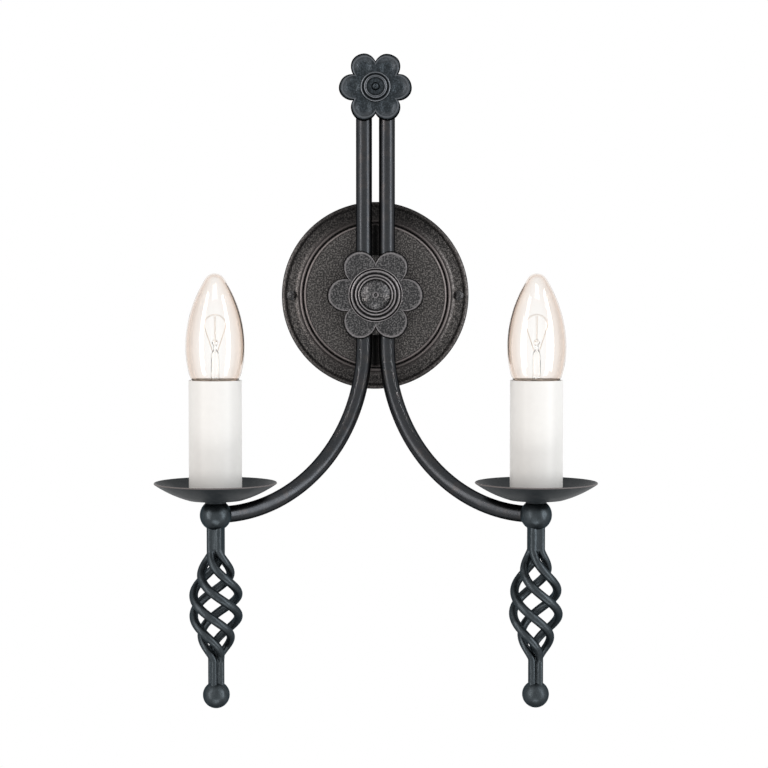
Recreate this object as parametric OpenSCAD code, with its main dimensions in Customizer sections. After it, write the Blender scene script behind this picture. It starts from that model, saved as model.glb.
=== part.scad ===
// Two-light wall lamp: wrought-iron candle arms on a round wall plate, in millimetres.
// Origin: centre of the plate, on the wall. +X is to the right, -Y points out of the wall, +Z is up.

/* [Backplate] */
// Outside diameter of the pressed wall plate
plate_d = 120; // [117:1:126]
// Height of the flat middle above the wall
plate_h = 17; // [16:0.5:20]
// Sheet thickness of the plate
plate_t = 1.2; // [0.9:0.1:1.4]
// Diameter of the flat middle
middle_d = 86; // [80:1:87]
// Height of the rolled lip above the wall
lip_h = 4.6; // [4.4:0.1:5.6]
// Radius of the rolled lip
lip_r = 1.5; // [1.2:0.1:1.7]
// Height of the flat ring, where the screws sit
cove_h = 3.6; // [3.4:0.1:4.2]
// Distance from the plate's edge to the axis of its screws
screw_inset = 6.4; // [6.2:0.1:7]
// Diameter of the M4 screws' heads
screw_head_d = 6.2; // [6:0.1:7.4]
// Diameter of all M4 shanks
screw_d = 4; // [3.5:0.5:4]

/* [Wall bracket] */
// Width of the bracket strap
bracket_w = 18; // [16:1:22]
// Thickness of the bracket strap
bracket_t = 2; // [1.6:0.1:2.2]
// Distance between the centres of the two wall slots
slot_gap = 60; // [56:1:66]
// End-to-end length of a wall slot
slot_len = 14; // [10:1:18]
// Width of a wall slot
slot_w = 5; // [4.5:0.1:5.5]
// Diameter of the hole for the supply cable
cable_hole_d = 13; // [10:0.5:14]
// Height of the bracket's ear above its centre line
ear_h = 36; // [34:1:42]

/* [Terminal block] */
// Distance between neighbouring terminal barrels
pole_gap = 10; // [9.5:0.5:12]
// Outside diameter of a terminal barrel
barrel_d = 5.2; // [5:0.1:5.6]
// Bore of a terminal barrel
barrel_bore = 4; // [3.9:0.1:4.2]
// Height of the moulded block
block_h = 16; // [14:0.5:18]

/* [Bars and arms] */
// Outside diameter of the arm tube
tube_d = 10; // [9.4:0.1:10.4]
// Bore of the arm tube
tube_bore = 7; // [6.6:0.1:7.6]
// Distance between the two bars' axes
bar_gap = 14.3; // [14:0.1:16]
// Distance from the wall to the bars' axes
bar_stand = 33.6; // [32:0.2:40]
// Height of the bars' closed top ends above the plate's centre
bar_top = 139; // [120:1:180]
// Bend radius of the arms
arm_r = 100; // [80:1:110]
// Angle by which each arm turns forward from the wall
arm_turn = 35; // [20:1:45]
// Straight length from the end of the bend to the ball's centre
arm_end = 7.5; // [7:0.5:20]
// Depth of the ball's centre below the plate's centre
arm_drop = 131; // [125:1:160]

/* [Carrier] */
// Width of the carrier plate behind the bars
carrier_w = 26; // [26:1:32]
// Height of the carrier plate
carrier_h = 50; // [48:1:60]
// Thickness of the carrier plate
carrier_t = 4; // [3.6:0.1:4.6]
// Depth of the grooves in which the bars lie
saddle = 0.6; // [0.3:0.1:1]
// Distance from the carrier's centre to each of its screws
carrier_screw_z = 18; // [17.4:0.2:18.6]

/* [Flowers] */
// Radius from the middle flower's centre to its petals' centres
flower_reach = 19.9; // [19.6:0.1:20.4]
// Radius of a middle petal
petal_r = 10.4; // [10.2:0.1:10.8]
// Radius of the disc that joins the middle petals
flower_disc_r = 19; // [18:0.1:19.8]
// Thickness of the middle flower
flower_t = 2.5; // [2:0.1:3.5]
// Radius of the middle boss
boss_r = 16.9; // [16:0.1:18]
// Height of the top flower's centre above the plate's centre
top_flower_z = 128.6; // [116:0.2:165]
// Radius from the top flower's centre to its petals' centres
top_reach = 14.6; // [14.2:0.1:15.2]
// Radius of a top petal
top_petal_r = 8.2; // [7.6:0.1:8.6]
// Radius of the disc that joins the top petals
top_disc_r = 15; // [14:0.1:16]
// Thickness of the top flower
top_flower_t = 3; // [2.4:0.1:3.6]
// Depth of the hollow pressed into each top petal
petal_cup = 0.9; // [0.4:0.1:1.2]
// Radius of the top boss
top_boss_r = 9.4; // [9:0.1:10]

/* [Ball, pan and basket] */
// Diameter of the ball at the arm's end
ball_d = 18.8; // [18:0.1:21]
// Depth to which the tube sits in the ball
tube_grip = 2.2; // [1.6:0.1:2.6]
// Diameter of the neck collar
collar_d = 12.6; // [12:0.1:13]
// Height of the neck collar
collar_h = 2.2; // [1.5:0.1:4]
// Rim diameter of the drip pan
pan_d = 72.5; // [64:0.5:84]
// Depth of the drip pan
pan_depth = 9.5; // [8:0.5:12]
// Radius of the pan's curved wall, seen from the side
pan_curve = 70; // [50:1:120]
// Sheet thickness of the pan
pan_t = 1; // [0.8:0.1:1.2]
// Diameter of a basket rod at its middle
rod_d = 5.3; // [4.6:0.1:5.6]
// Diameter of a rod at its upper end, in the ball
rod_top_d = 4.8; // [4.4:0.1:5]
// Diameter of a rod at its drawn-down lower end, in the finial
rod_end_d = 4.3; // [3.8:0.1:4.6]
// Outside diameter of the basket
basket_d = 33; // [28:0.2:40]
// Height of the twisted basket
basket_h = 66; // [54:1:80]
// Straight length of the rods between the ball and the basket
stem_top = 15; // [10:0.5:24]
// Straight length of the rods between the basket and the finial
stem_low = 16; // [8:0.5:24]
// Turn of the left basket's rods from top to bottom, in degrees
left_turn = 395; // [240:5:480]
// Turn of the right basket's rods from top to bottom, in degrees
right_turn = 350; // [240:5:480]
// Diameter of the finial ball
finial_d = 16; // [14.5:0.1:20]

/* [Candle] */
// Outside diameter of the candle sleeve
sleeve_d = 31.4; // [31:0.1:33]
// Wall of the candle sleeve
sleeve_t = 0.8; // [0.6:0.1:0.9]
// Length of the candle sleeve
sleeve_len = 70; // [68:1:110]
// Outside diameter of the lampholder body
holder_d = 24; // [23.8:0.1:26]
// Length of the lampholder's base
holder_base_len = 15; // [13:0.5:15.5]
// Outside diameter of the hollow threaded nipple
nipple_d = 10; // [9.6:0.1:10]
// Bore of the nipple
nipple_bore = 8; // [7:0.1:8.2]
// Width of the pan nut across its flats
nut_w = 14; // [13:0.5:17]

/* [Bulb] */
// Largest diameter of the candle bulb
bulb_d = 35; // [34:0.5:37]
// Height of the bulb's widest ring above the sleeve's top
bulb_rise = 19.3; // [18:0.1:21]
// Radius of the long curve from the widest ring to the tip
bulb_side_r = 75.4; // [70:0.2:90]
// Radius of the rounded tip
bulb_tip_r = 6.5; // [4:0.1:7.5]
// Thickness of the glass
glass_t = 0.8; // [0.5:0.1:1]
// Outside diameter of the bulb's screw cap
cap_d = 13.9; // [13.8:0.05:14]
// Height of the cap's shell
cap_h = 21; // [20:0.5:22]

/* [Wiring] */
// Outside diameter of a lamp wire
wire_d = 1.8; // [1.4:0.1:1.8]
// Sides of the wires' section
wire_sides = 8; // [6:1:10]
// Sides of the rods' section
rod_sides = 10; // [8:1:12]

/* [Hidden] */
$fn = 72;

// Sides of the lamp, as the sign of X
LEFT = -1;
RIGHT = 1;

// Finishes
iron = [0.17, 0.16, 0.16];
plate_iron = [0.2, 0.18, 0.17];
zinc = [0.7, 0.71, 0.72];
brass = [0.8, 0.66, 0.35];
ivory = [0.94, 0.92, 0.88];
bakelite = [0.1, 0.09, 0.09];
nylon = [0.9, 0.9, 0.87];
clear_glass = [0.95, 0.96, 0.97, 0.35];

// Clearances
fit = 0.05;     // between pieces that are clamped, brazed or screwed together
play = 0.2;     // between a screw and the plain hole it passes
gap = 0.3;      // between pieces that move past each other

// Fastener proportions
head_h = 2.4;       // height of an M4 pan head
nut_h = 3.2;        // height of an M4 nut
nut_af = 7;         // width of an M4 nut across its flats
recess_w = 1.1;     // width of a cross recess
recess_h = 1.2;     // depth of a cross recess
recess_span = 0.6;  // length of a cross recess, as a share of its head
tap_len = 3;        // thread length of a screw in a tapped plate or boss
tip_gap = 0.2;      // between the tip of a screw and the wall
thread_show = 1;    // length of a stud that shows past its nut
over = 1;           // how far cutting shapes reach past the faces they cut

// Backplate
plate_r = plate_d / 2;
middle_r = middle_d / 2;
lip_sweep = 140;
ring_inset = 4;         // from the plate's edge to its flat ring
ring_w = 3.8;           // width of the flat ring
ring_edge_r = plate_r - ring_inset;
fillet_r = 1.5;         // between the flat ring and the lip
fillet_sweep = 35;
cove_foot_r = ring_edge_r - ring_w;
cove_rise = 5.2;        // from the edge of the middle to the top of the cove
cove_sweep = 78;
cove_r = (cove_foot_r - middle_r - cove_rise) / sin(cove_sweep);
bead_r = 1;
shoulder_at = [middle_r + 4.1, plate_h - 1.8];
groove_at = [middle_r + 2.7, plate_h - 2];
bead_at = [middle_r + 1.3, plate_h - 0.7];
hollow_shoulder = [middle_r + 3.9, plate_h - 3];
hollow_groove = [middle_r + 2, plate_h - 3];
hollow_edge = 0.5;      // how far the inside corner lies outside the middle
screw_x = plate_r - screw_inset;
screw_seat = 0.4;       // how far the screws' seats are sunk into the ring
seat_h = cove_h - screw_seat;
cup_r = screw_head_d / 2 + gap + plate_t;
cup_h = 3;
plate_inside_h = plate_h - plate_t;

// Bracket and terminal block
bracket_past_screw = 3.4;
bracket_end = screw_x + bracket_past_screw;
bracket_play = 0.8;     // between the bracket's ends and the plate
ear_in = 1;             // how far the ear's sides lie inside the outer barrels' axes
ear_w = 2 * (pole_gap - ear_in);
ear_corner = 3;
block_wall = 2.4;       // nylon outside the outer barrels
block_w = 2 * (pole_gap + block_wall) + barrel_d;
block_depth = 10;
block_drop = 2;         // from the ear's top to the block's
block_z = ear_h - block_h / 2 - block_drop;
barrel_in = 1;          // how far the barrels' ends lie inside the block
barrel_len = block_h - 2 * barrel_in;
block_y = -bracket_t - block_depth / 2;
clamp_d = 2.6;
clamp_len = 3;
clamp_in = 3;           // from a barrel's end to its clamp screw
driver_w = 0.5;
driver_h = 0.6;
clamp_z = barrel_len / 2 - clamp_in;
fixing_d = 2.5;
fixing_head_d = 4.5;
fixing_head_h = 1.6;
earth_x = -14;
lug_t = 0.8;
lug_r = 3.6;
crimp_r = 1.5;
crimp_z = 5;
crimp_len = 3.5;

// Bars and arms
tube_r = tube_d / 2;
bore_r = tube_bore / 2;
bar_x = bar_gap / 2;
bend_z = arm_r - arm_drop;
ball_r = ball_d / 2;
tube_seat = sqrt(ball_r * ball_r - tube_r * tube_r) - tube_grip;
arm_reach = arm_r + arm_end;
candle_x = bar_x + arm_reach * cos(arm_turn);
candle_y = bar_stand + arm_reach * sin(arm_turn);
bar_front = bar_stand + tube_r + fit;
bar_back = bar_stand - tube_r - fit;
top_wall = 2;

// Carrier and spacer
carrier_front = bar_back + saddle + fit;
carrier_back = carrier_front - carrier_t;
spacer_h = carrier_back - plate_h;
wire_way_w = 20.4;
wire_way_h = 16;
slot_mid_z = -0.25;
tube_slot_w = 5;
tube_slot_h = 6.4;

// Flowers
stud_grip = 3.3;
top_stud_grip = 2.5;
cup_out = 0.6;          // how far each hollow lies outside its petal's centre
// each ring's inset from the boss's edge, its bead's height and its bead's radius
boss_rings = [[0.5, 0.5, 0.5], [2.4, 1.5, 1.1], [4.9, 2.7, 0.9], [6.7, 3.6, 0.7]];
boss_dome_r = boss_r - 7.4;
boss_dome_h = 6.6;
boss_dome_curve = 15.6;
boss_dimple_r = 1.1;
top_rings = [[0.8, 0.8, 0.8], [2.9, 1.9, 0.8], [3.6, 2.6, 0.5]];
top_dome_r = 2.3;
top_dome_h = 5.2;
top_dimple_r = 0.7;
flower_front = bar_front + flower_t;
top_flower_front = bar_front + top_flower_t;
tie_w = 22;
tie_h = 9;
tie_t = 2.5;
tie_back = bar_back + saddle + fit - tie_t;

// Heights in the candle, above the ball's centre
collar_edge = 0.1;      // how far the ball's flat shows round the collar
hub_flat = ball_r * cos(asin((collar_d + 2 * collar_edge) / ball_d));
pan_z = hub_flat + collar_h;
floor_z = pan_z + pan_t;
pan_nut_h = 3;
holder_z = floor_z + pan_nut_h;
base_floor_t = 3;
nipple_foot = bore_r + gap;
nipple_show = 2;        // nipple above the base's floor
nipple_top = holder_z + base_floor_t + nipple_show;
body_z = holder_z + holder_base_len;
base_step = 0.6;        // how far the base lies inside the body
spigot_h = 3.4;
spigot_t = 1.5;
sleeve_top = floor_z + sleeve_len;
floor_edge = 0.7;       // flat floor of the pan outside the sleeve
pan_floor_r = sleeve_d / 2 + floor_edge;

// Bulb outline, above the ball's centre
wide_z = sleeve_top + bulb_rise;
bulb_r = bulb_d / 2;
low_r = 60;
low_sweep = 15.5;
shoulder_r = 9;
shoulder_to = 60;
cap_wall = 0.45;        // cap and cement outside the glass neck
neck_r = cap_d / 2 - cap_wall;
tip_z = wide_z + sqrt(pow(bulb_side_r - bulb_tip_r, 2) - pow(bulb_side_r - bulb_r, 2));
tip_angle = atan2(tip_z - wide_z, bulb_side_r - bulb_r);
shoulder_c = [
    bulb_r - low_r + (low_r - shoulder_r) * cos(low_sweep),
    wide_z - (low_r - shoulder_r) * sin(low_sweep)
];
shoulder_end = shoulder_c + shoulder_r * [cos(shoulder_to), -sin(shoulder_to)];
neck_fillet = (shoulder_end[0] - neck_r) / (1 - cos(shoulder_to));
neck_c = shoulder_end + neck_fillet * [cos(shoulder_to), -sin(shoulder_to)];
neck_in_cap = 8;

// Lampholder, hung from the bulb's cap
cap_below_neck = 0.1;
cap_top = neck_c[1] - cap_below_neck;
cap_z = cap_top - cap_h;
insulator_h = 1.8;
contact_h = 1.2;
contact_r = 2.4;
insulator_low_r = 3;
insulator_in = 0.3;     // how far the insulator's top lies inside the cap
tip_contact_z = cap_z - insulator_h - contact_h;
flange_r = 3;
flange_h = 0.8;
shelf_z = tip_contact_z - play - flange_h;
shelf_t = 2.5;
holder_past_cap = 0.5;
holder_top = cap_top + holder_past_cap;
body_r = holder_d / 2;
body_wall = 1.6;
body_bore_r = body_r - body_wall;
shell_in_r = cap_d / 2 + gap;
shell_t = 0.45;
shell_r = shell_in_r + shell_t;
shell_h = 20;
strip_t = 0.6;
strip_w = 3;
terminal_n = 6;
terminal_w = 4.2;
terminal_h = 6;
terminal_screw_d = 2;
terminal_screw_len = 2.4;
terminal_z = shelf_z - shelf_t - strip_t - terminal_h;
tab_n = shell_r - strip_t / 2;

// Basket
rod_count = 4;
rod_r = rod_d / 2;
rod_top_r = rod_top_d / 2;
rod_end_r = rod_end_d / 2;
rod_spread = 1.01;      // how far touching rods stand apart, as a share
bundle = rod_spread * sqrt(2);
bundle_r = rod_top_r * (bundle + 1);
low_bundle_r = rod_end_r * (bundle + 1);
socket_h = 1.5;
rod_seat = sqrt(ball_r * ball_r - bundle_r * bundle_r) - socket_h;
finial_r = finial_d / 2;
finial_seat = sqrt(finial_r * finial_r - low_bundle_r * low_bundle_r) - socket_h;
basket_top = -rod_seat - stem_top;
basket_low = basket_top - basket_h;
rod_low = basket_low - stem_low;
finial_z = rod_low - finial_seat;
swell_power = 1.5;
basket_rings = 30;
waist_phase = 230;      // angle of the first rod where the basket is widest

// Wires
wire_r = wire_d / 2;
wire_n = 1.2;
front_bend = 3;
back_bend = 2;
front_entry_z = 1.5;
back_entry_z = -2;
ball_bend = 3;
lead_in = 4;            // length of wire inside a terminal
bare_gap = 0.5;         // between the end of a wire and its terminal's floor
spread_gap = 1;         // between the nipple or a terminal and the spread of the wires
wire_drop = 3;          // straight length of a wire below the block
left_live_route = [[-10, -9.5, 6], [-8.8, -13, 0], [-7.9, -17, -2]];
left_neutral_route = [[7, -9.5, 11], [2, -12.5, 10], [-3, -13.5, 7.5], [-6, -15.5, 3], [-6.4, -18.5, 1.5]];
right_live_route = [[-7, -8, 10.5], [-2, -9.5, 8.5], [3, -11, 5], [6.5, -14, 0], [7.8, -18, -2]];
right_neutral_route = [[9.5, -9, 7], [8, -13, 2.5], [7, -18, 1.5]];
// the earth wire passes at these places, with each Y measured from the crimp's axis
earth_route = [[-3, -0.85, 12.6], [-7, -0.4, 12], [-12, -0.2, 13], [-14, 0, 11]];

// Points on an arc round c from angle a to angle b
function arc(c, r, a, b, steps = 10) =
    [for (i = [0 : steps]) let (t = a + (b - a) * i / steps) c + r * [cos(t), sin(t)]];

// All but the first point of a path
function tail(p) = [for (i = [1 : len(p) - 1]) p[i]];

function unit(v) = v / norm(v);

function smooth(t) = t * t * (3 - 2 * t);

// Cuts the corners of a path once, keeping its ends
function cut_corners(p) = concat(
    [p[0]],
    [for (i = [0 : len(p) - 2]) for (t = [0.25, 0.75]) p[i] * (1 - t) + p[i + 1] * t],
    [p[len(p) - 1]]
);

// Direction of a path at each of its points
function headings(p) =
    [for (i = [0 : len(p) - 1]) unit(p[min(i + 1, len(p) - 1)] - p[max(i - 1, 0)])];

// A side direction carried along a path without spinning round it
function carried(h, n, i = 0) =
    i == len(h) ? [] :
    let (m = unit(n - (n * h[i]) * h[i])) concat([m], carried(h, m, i + 1));

// Direction in which an arm leaves the bars, and the level direction square to it
function arm_dir(side) = [side * cos(arm_turn), -sin(arm_turn), 0];
function arm_side(side) = [sin(arm_turn), side * cos(arm_turn), 0];

// A point in an arm's plane: s outwards, n to the side, z up
function arm_point(side, s, n, z) =
    [side * bar_x, -bar_stand, z] + s * arm_dir(side) + n * arm_side(side);

// A solid turned round the axis that points out of the wall
module out_of_wall(h = 0) {
    translate([0, -h, 0]) rotate([90, 0, 0]) children();
}

// An arm's own frame: X along the arm, Y to its side, at the bar's axis
module arm_frame(side) {
    translate([side * bar_x, -bar_stand, 0])
        rotate([0, 0, side > 0 ? -arm_turn : 180 + arm_turn]) children();
}

// A candle's own frame, at the centre of its ball
module candle_frame(side) {
    translate([side * candle_x, -candle_y, -arm_drop])
        rotate([0, 0, side > 0 ? -arm_turn : 180 + arm_turn]) children();
}

module ring(r, in_r, h) {
    difference() {
        cylinder(r = r, h = h);
        translate([0, 0, -over]) cylinder(r = in_r, h = h + 2 * over);
    }
}

module obround(w, l) {
    square([w, l - w], center = true);
    for (s = [-1, 1]) translate([0, s * (l - w) / 2]) circle(d = w);
}

// A pan-head screw: head above z = 0, shank below
module pan_screw(head_d, head, shank_d, shank) {
    difference() {
        union() {
            intersection() {
                cylinder(d = head_d, h = head);
                translate([0, 0, head - head_d]) sphere(r = head_d);
            }
            translate([0, 0, -shank]) cylinder(d = shank_d, h = shank + head / 2);
        }
        for (a = [0, 90]) rotate([0, 0, a])
            translate([0, 0, head]) cube([head_d * recess_span, recess_w, 2 * recess_h], center = true);
    }
}

module hex_nut(af, bore_d, h) {
    difference() {
        cylinder(d = af / cos(30), h = h, $fn = 6);
        translate([0, 0, -over]) cylinder(d = bore_d, h = h + 2 * over);
    }
}

// A round bar swept along path p, with radius r[i] at point i
module swept(p, r, start, sides) {
    h = headings(p);
    n = carried(h, start);
    last = len(p) - 1;
    points = [
        for (i = [0 : last]) for (j = [0 : sides - 1])
            let (a = 360 * j / sides)
            p[i] + r[i] * (cos(a) * n[i] + sin(a) * cross(h[i], n[i]))
    ];
    walls = [
        for (i = [0 : last - 1]) for (j = [0 : sides - 1])
            let (a = i * sides + j, b = i * sides + (j + 1) % sides)
            each [[a, a + sides, b + sides], [a, b + sides, b]]
    ];
    ends = [
        [for (j = [0 : sides - 1]) j],
        [for (j = [sides - 1 : -1 : 0]) last * sides + j]
    ];
    polyhedron(points = points, faces = concat(walls, ends), convexity = 6);
}

// Outer outline of the pressed plate, as radius and height above the wall
function plate_outline() = concat(
    [[0, 0], [plate_r, 0]],
    arc([plate_r - lip_r, lip_h - lip_r], lip_r, 0, lip_sweep),
    arc([ring_edge_r, cove_h + fillet_r], fillet_r, 270 + fillet_sweep, 270, 6),
    arc([cove_foot_r, cove_h + cove_r], cove_r, 270, 270 - cove_sweep, 14),
    arc(shoulder_at, bead_r, 12, 150),
    [groove_at],
    arc(bead_at, bead_r, -50, 135),
    [[middle_r, plate_h], [0, plate_h]]
);

// Hollow of the plate, one sheet thickness inside its outline
function plate_hollow() = concat(
    [[0, -over], [plate_r - plate_t, -over], [plate_r - plate_t, cove_h - plate_t]],
    arc([cove_foot_r, cove_h + cove_r], cove_r + plate_t, 270, 270 - cove_sweep, 14),
    [hollow_shoulder, hollow_groove, [middle_r + hollow_edge, plate_inside_h], [0, plate_inside_h]]
);

module backplate() {
    color(plate_iron) difference() {
        union() {
            out_of_wall() rotate_extrude() difference() {
                polygon(plate_outline());
                polygon(plate_hollow());
            }
            // cups under the two screws, kept inside the plate's outline
            intersection() {
                out_of_wall() rotate_extrude() polygon(plate_outline());
                for (s = [LEFT, RIGHT]) translate([s * screw_x, 0, 0])
                    out_of_wall(cove_h - plate_t) cylinder(r = cup_r, h = cup_h);
            }
        }
        for (s = [LEFT, RIGHT]) translate([s * screw_x, 0, 0]) {
            out_of_wall(seat_h) cylinder(r = screw_head_d / 2 + gap, h = plate_h);
            out_of_wall() cylinder(r = screw_d / 2 + play, h = plate_h);
        }
        out_of_wall(plate_inside_h - over) linear_extrude(plate_t + 2 * over)
            rotate(90) obround(wire_way_h, wire_way_w);
        for (s = [-1, 1]) translate([0, 0, s * carrier_screw_z])
            out_of_wall(plate_inside_h - over) cylinder(r = screw_d / 2 + play, h = plate_t + 2 * over);
    }
}

module backplate_screws() {
    color(iron) for (s = [LEFT, RIGHT]) translate([s * screw_x, 0, 0])
        out_of_wall(seat_h) pan_screw(screw_head_d, head_h, screw_d - 2 * fit, seat_h - tip_gap);
}

module wall_bracket() {
    color(zinc) difference() {
        out_of_wall() linear_extrude(bracket_t) difference() {
            union() {
                intersection() {
                    square([2 * bracket_end, bracket_w], center = true);
                    circle(r = plate_r - plate_t - bracket_play);
                }
                translate([-ear_w / 2, 0]) square([ear_w, ear_h - ear_corner]);
                translate([-ear_w / 2 + ear_corner, 0]) square([ear_w - 2 * ear_corner, ear_h]);
                for (s = [-1, 1]) translate([s * (ear_w / 2 - ear_corner), ear_h - ear_corner])
                    circle(r = ear_corner);
            }
            for (s = [LEFT, RIGHT]) translate([s * slot_gap / 2, 0]) rotate(90) obround(slot_w, slot_len);
        }
        out_of_wall(-over) cylinder(d = cable_hole_d, h = bracket_t + 2 * over);
        for (s = [LEFT, RIGHT]) translate([s * screw_x, 0, 0])
            out_of_wall(-over) cylinder(d = screw_d, h = bracket_t + 2 * over);
        translate([earth_x, 0, 0]) out_of_wall(-over) cylinder(d = screw_d, h = bracket_t + 2 * over);
        for (s = [LEFT, RIGHT]) translate([s * pole_gap / 2, 0, block_z])
            out_of_wall(-over) cylinder(d = fixing_d, h = bracket_t + 2 * over);
    }
}

module bracket_earth_screw() {
    color(brass) translate([earth_x, 0, 0])
        out_of_wall(bracket_t + lug_t)
            pan_screw(screw_head_d, head_h, screw_d - 2 * fit, bracket_t + lug_t - tip_gap);
}

module terminal_block() {
    color(nylon) translate([0, block_y, block_z]) difference() {
        cube([block_w, block_depth, block_h], center = true);
        for (p = [-1 : 1]) translate([p * pole_gap, 0, 0]) {
            translate([0, 0, -block_h / 2 - over]) cylinder(d = barrel_d + 2 * fit, h = block_h + 2 * over);
            for (s = [-1, 1]) translate([0, 0, s * clamp_z])
                rotate([90, 0, 0]) cylinder(d = clamp_d + 2 * gap, h = block_depth);
        }
        for (s = [LEFT, RIGHT]) translate([s * pole_gap / 2, block_depth / 2 + over, 0])
            rotate([90, 0, 0]) cylinder(d = fixing_d + 2 * play, h = block_depth + 2 * over);
    }
}

module terminal_barrels() {
    color(brass) translate([0, block_y, block_z])
        for (p = [-1 : 1]) translate([p * pole_gap, 0, -barrel_len / 2]) difference() {
            cylinder(d = barrel_d, h = barrel_len);
            translate([0, 0, -over]) cylinder(d = barrel_bore, h = barrel_len + 2 * over);
            for (s = [-1, 1]) translate([0, 0, barrel_len / 2 + s * clamp_z])
                rotate([90, 0, 0]) cylinder(d = clamp_d, h = barrel_d);
        }
}

module terminal_clamp_screws() {
    color(zinc) for (p = [-1 : 1]) for (s = [-1, 1])
        translate([p * pole_gap, block_y - wire_r - fit, block_z + s * clamp_z])
            rotate([90, 0, 0]) difference() {
                cylinder(d = clamp_d - 2 * fit, h = clamp_len);
                translate([0, 0, clamp_len]) cube([clamp_d, driver_w, 2 * driver_h], center = true);
            }
}

module terminal_block_screws() {
    color(zinc) for (s = [LEFT, RIGHT]) translate([s * pole_gap / 2, 0, block_z])
        out_of_wall(bracket_t + block_depth)
            pan_screw(fixing_head_d, fixing_head_h, fixing_d - 2 * fit, block_depth + bracket_t - tip_gap);
}

module arm_spacer() {
    color(iron) out_of_wall(plate_h) linear_extrude(spacer_h) difference() {
        obround(carrier_w, carrier_h);
        rotate(90) obround(wire_way_h, wire_way_w);
        for (s = [-1, 1]) translate([0, s * carrier_screw_z]) circle(r = screw_d / 2 + play);
    }
}

module arm_carrier() {
    color(iron) difference() {
        out_of_wall(carrier_back) linear_extrude(carrier_t) difference() {
            obround(carrier_w, carrier_h);
            circle(r = screw_d / 2 + play);
            for (s = [LEFT, RIGHT]) translate([s * bar_x, slot_mid_z]) obround(tube_slot_w, tube_slot_h);
            for (s = [-1, 1]) translate([0, s * carrier_screw_z]) circle(d = screw_d);
        }
        for (s = [LEFT, RIGHT]) translate([s * bar_x, -bar_stand, -carrier_h])
            cylinder(r = tube_r + fit, h = 2 * carrier_h);
    }
}

module carrier_screws() {
    color(zinc) for (s = [-1, 1]) translate([0, -plate_inside_h, s * carrier_screw_z])
        rotate([-90, 0, 0])
            pan_screw(screw_head_d, head_h, screw_d - 2 * fit, plate_t + spacer_h + tap_len);
}

module flower(disc_r, reach, r) {
    circle(r = disc_r);
    for (a = [0 : 60 : 300]) rotate(a) translate([reach, 0]) circle(r = r);
}

module centre_flower() {
    color(iron) out_of_wall(bar_front) linear_extrude(flower_t) difference() {
        flower(flower_disc_r, flower_reach, petal_r);
        circle(r = screw_d / 2 + play);
    }
}

// A turned boss: beaded steps that climb to a shallow dome with a dimple at its centre
module boss(r, rings, dome_r, dome_h, dome_curve, dimple_r, bore_h) {
    rotate_extrude() difference() {
        union() {
            for (q = rings) {
                square([r - q[0], q[1] + q[2] / 2]);
                translate([r - q[0], q[1]]) circle(r = q[2]);
            }
            intersection() {
                translate([0, dome_h - dome_curve]) circle(r = dome_curve);
                square([dome_r, 2 * dome_h]);
            }
        }
        translate([-2 * r, -r]) square([4 * r, r]);
        translate([-2 * r, -r]) square([2 * r, 3 * r]);
        translate([0, dome_h + dimple_r / 2]) circle(r = dimple_r);
        square([screw_d / 2 + fit, bore_h]);
    }
}

module centre_boss() {
    color(iron) out_of_wall(flower_front)
        boss(boss_r, boss_rings, boss_dome_r, boss_dome_h, boss_dome_curve, boss_dimple_r, stud_grip);
}

// A stud through the gap between the bars, from a boss to the nut behind
module stud(front, back) {
    color(zinc) out_of_wall(back) cylinder(d = screw_d - 2 * fit, h = front - back);
}

module centre_stud() {
    stud(flower_front + stud_grip - 2 * fit, carrier_back - nut_h - thread_show);
}

module top_flower() {
    color(iron) translate([0, 0, top_flower_z]) difference() {
        out_of_wall(bar_front) linear_extrude(top_flower_t) difference() {
            flower(top_disc_r, top_reach, top_petal_r);
            circle(r = screw_d / 2 + play);
        }
        // a shallow hollow in every petal
        for (a = [0 : 60 : 300]) rotate([0, a, 0])
            translate([top_reach + cup_out, -top_flower_front - 2 * top_petal_r + petal_cup, 0])
                sphere(r = 2 * top_petal_r);
    }
}

module top_boss() {
    color(iron) translate([0, 0, top_flower_z]) out_of_wall(top_flower_front)
        boss(top_boss_r, top_rings, top_dome_r, top_dome_h, top_dome_r, top_dimple_r, top_stud_grip);
}

module top_stud() {
    translate([0, 0, top_flower_z])
        stud(top_flower_front + top_stud_grip - 2 * fit, tie_back - nut_h - thread_show);
}

module top_tie() {
    color(iron) difference() {
        translate([0, 0, top_flower_z]) out_of_wall(tie_back) linear_extrude(tie_t) difference() {
            rotate(90) obround(tie_h, tie_w);
            circle(r = screw_d / 2 + play);
        }
        for (s = [LEFT, RIGHT]) translate([s * bar_x, -bar_stand, top_flower_z - tie_w])
            cylinder(r = tube_r + fit, h = 2 * tie_w);
    }
}

module stud_nuts() {
    color(zinc) {
        out_of_wall(carrier_back - nut_h) hex_nut(nut_af, screw_d, nut_h);
        translate([0, 0, top_flower_z]) out_of_wall(tie_back - nut_h) hex_nut(nut_af, screw_d, nut_h);
    }
}

// The straight bar, the bend and the short level end of one arm, as a solid of radius r
module arm_run(r, top, reach) {
    translate([0, 0, bend_z]) cylinder(r = r, h = top - bend_z);
    translate([arm_r, 0, bend_z]) rotate([90, 0, 0]) rotate([0, 0, 180])
        rotate_extrude(angle = 90) translate([arm_r, 0]) circle(r = r);
    translate([arm_r, 0, -arm_drop]) rotate([0, 90, 0]) cylinder(r = r, h = reach - arm_r);
}

module arm_tube(side) {
    color(iron) difference() {
        arm_frame(side) difference() {
            arm_run(tube_r, bar_top, arm_reach - tube_seat);
            arm_run(bore_r, bar_top - top_wall, arm_reach - tube_seat + over);
        }
        // slot in the back of the bar, where the wires enter
        translate([side * bar_x, 0, 0]) out_of_wall(bar_back - over)
            linear_extrude(tube_r + over) translate([0, slot_mid_z]) obround(tube_slot_w, tube_slot_h);
    }
}

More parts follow.
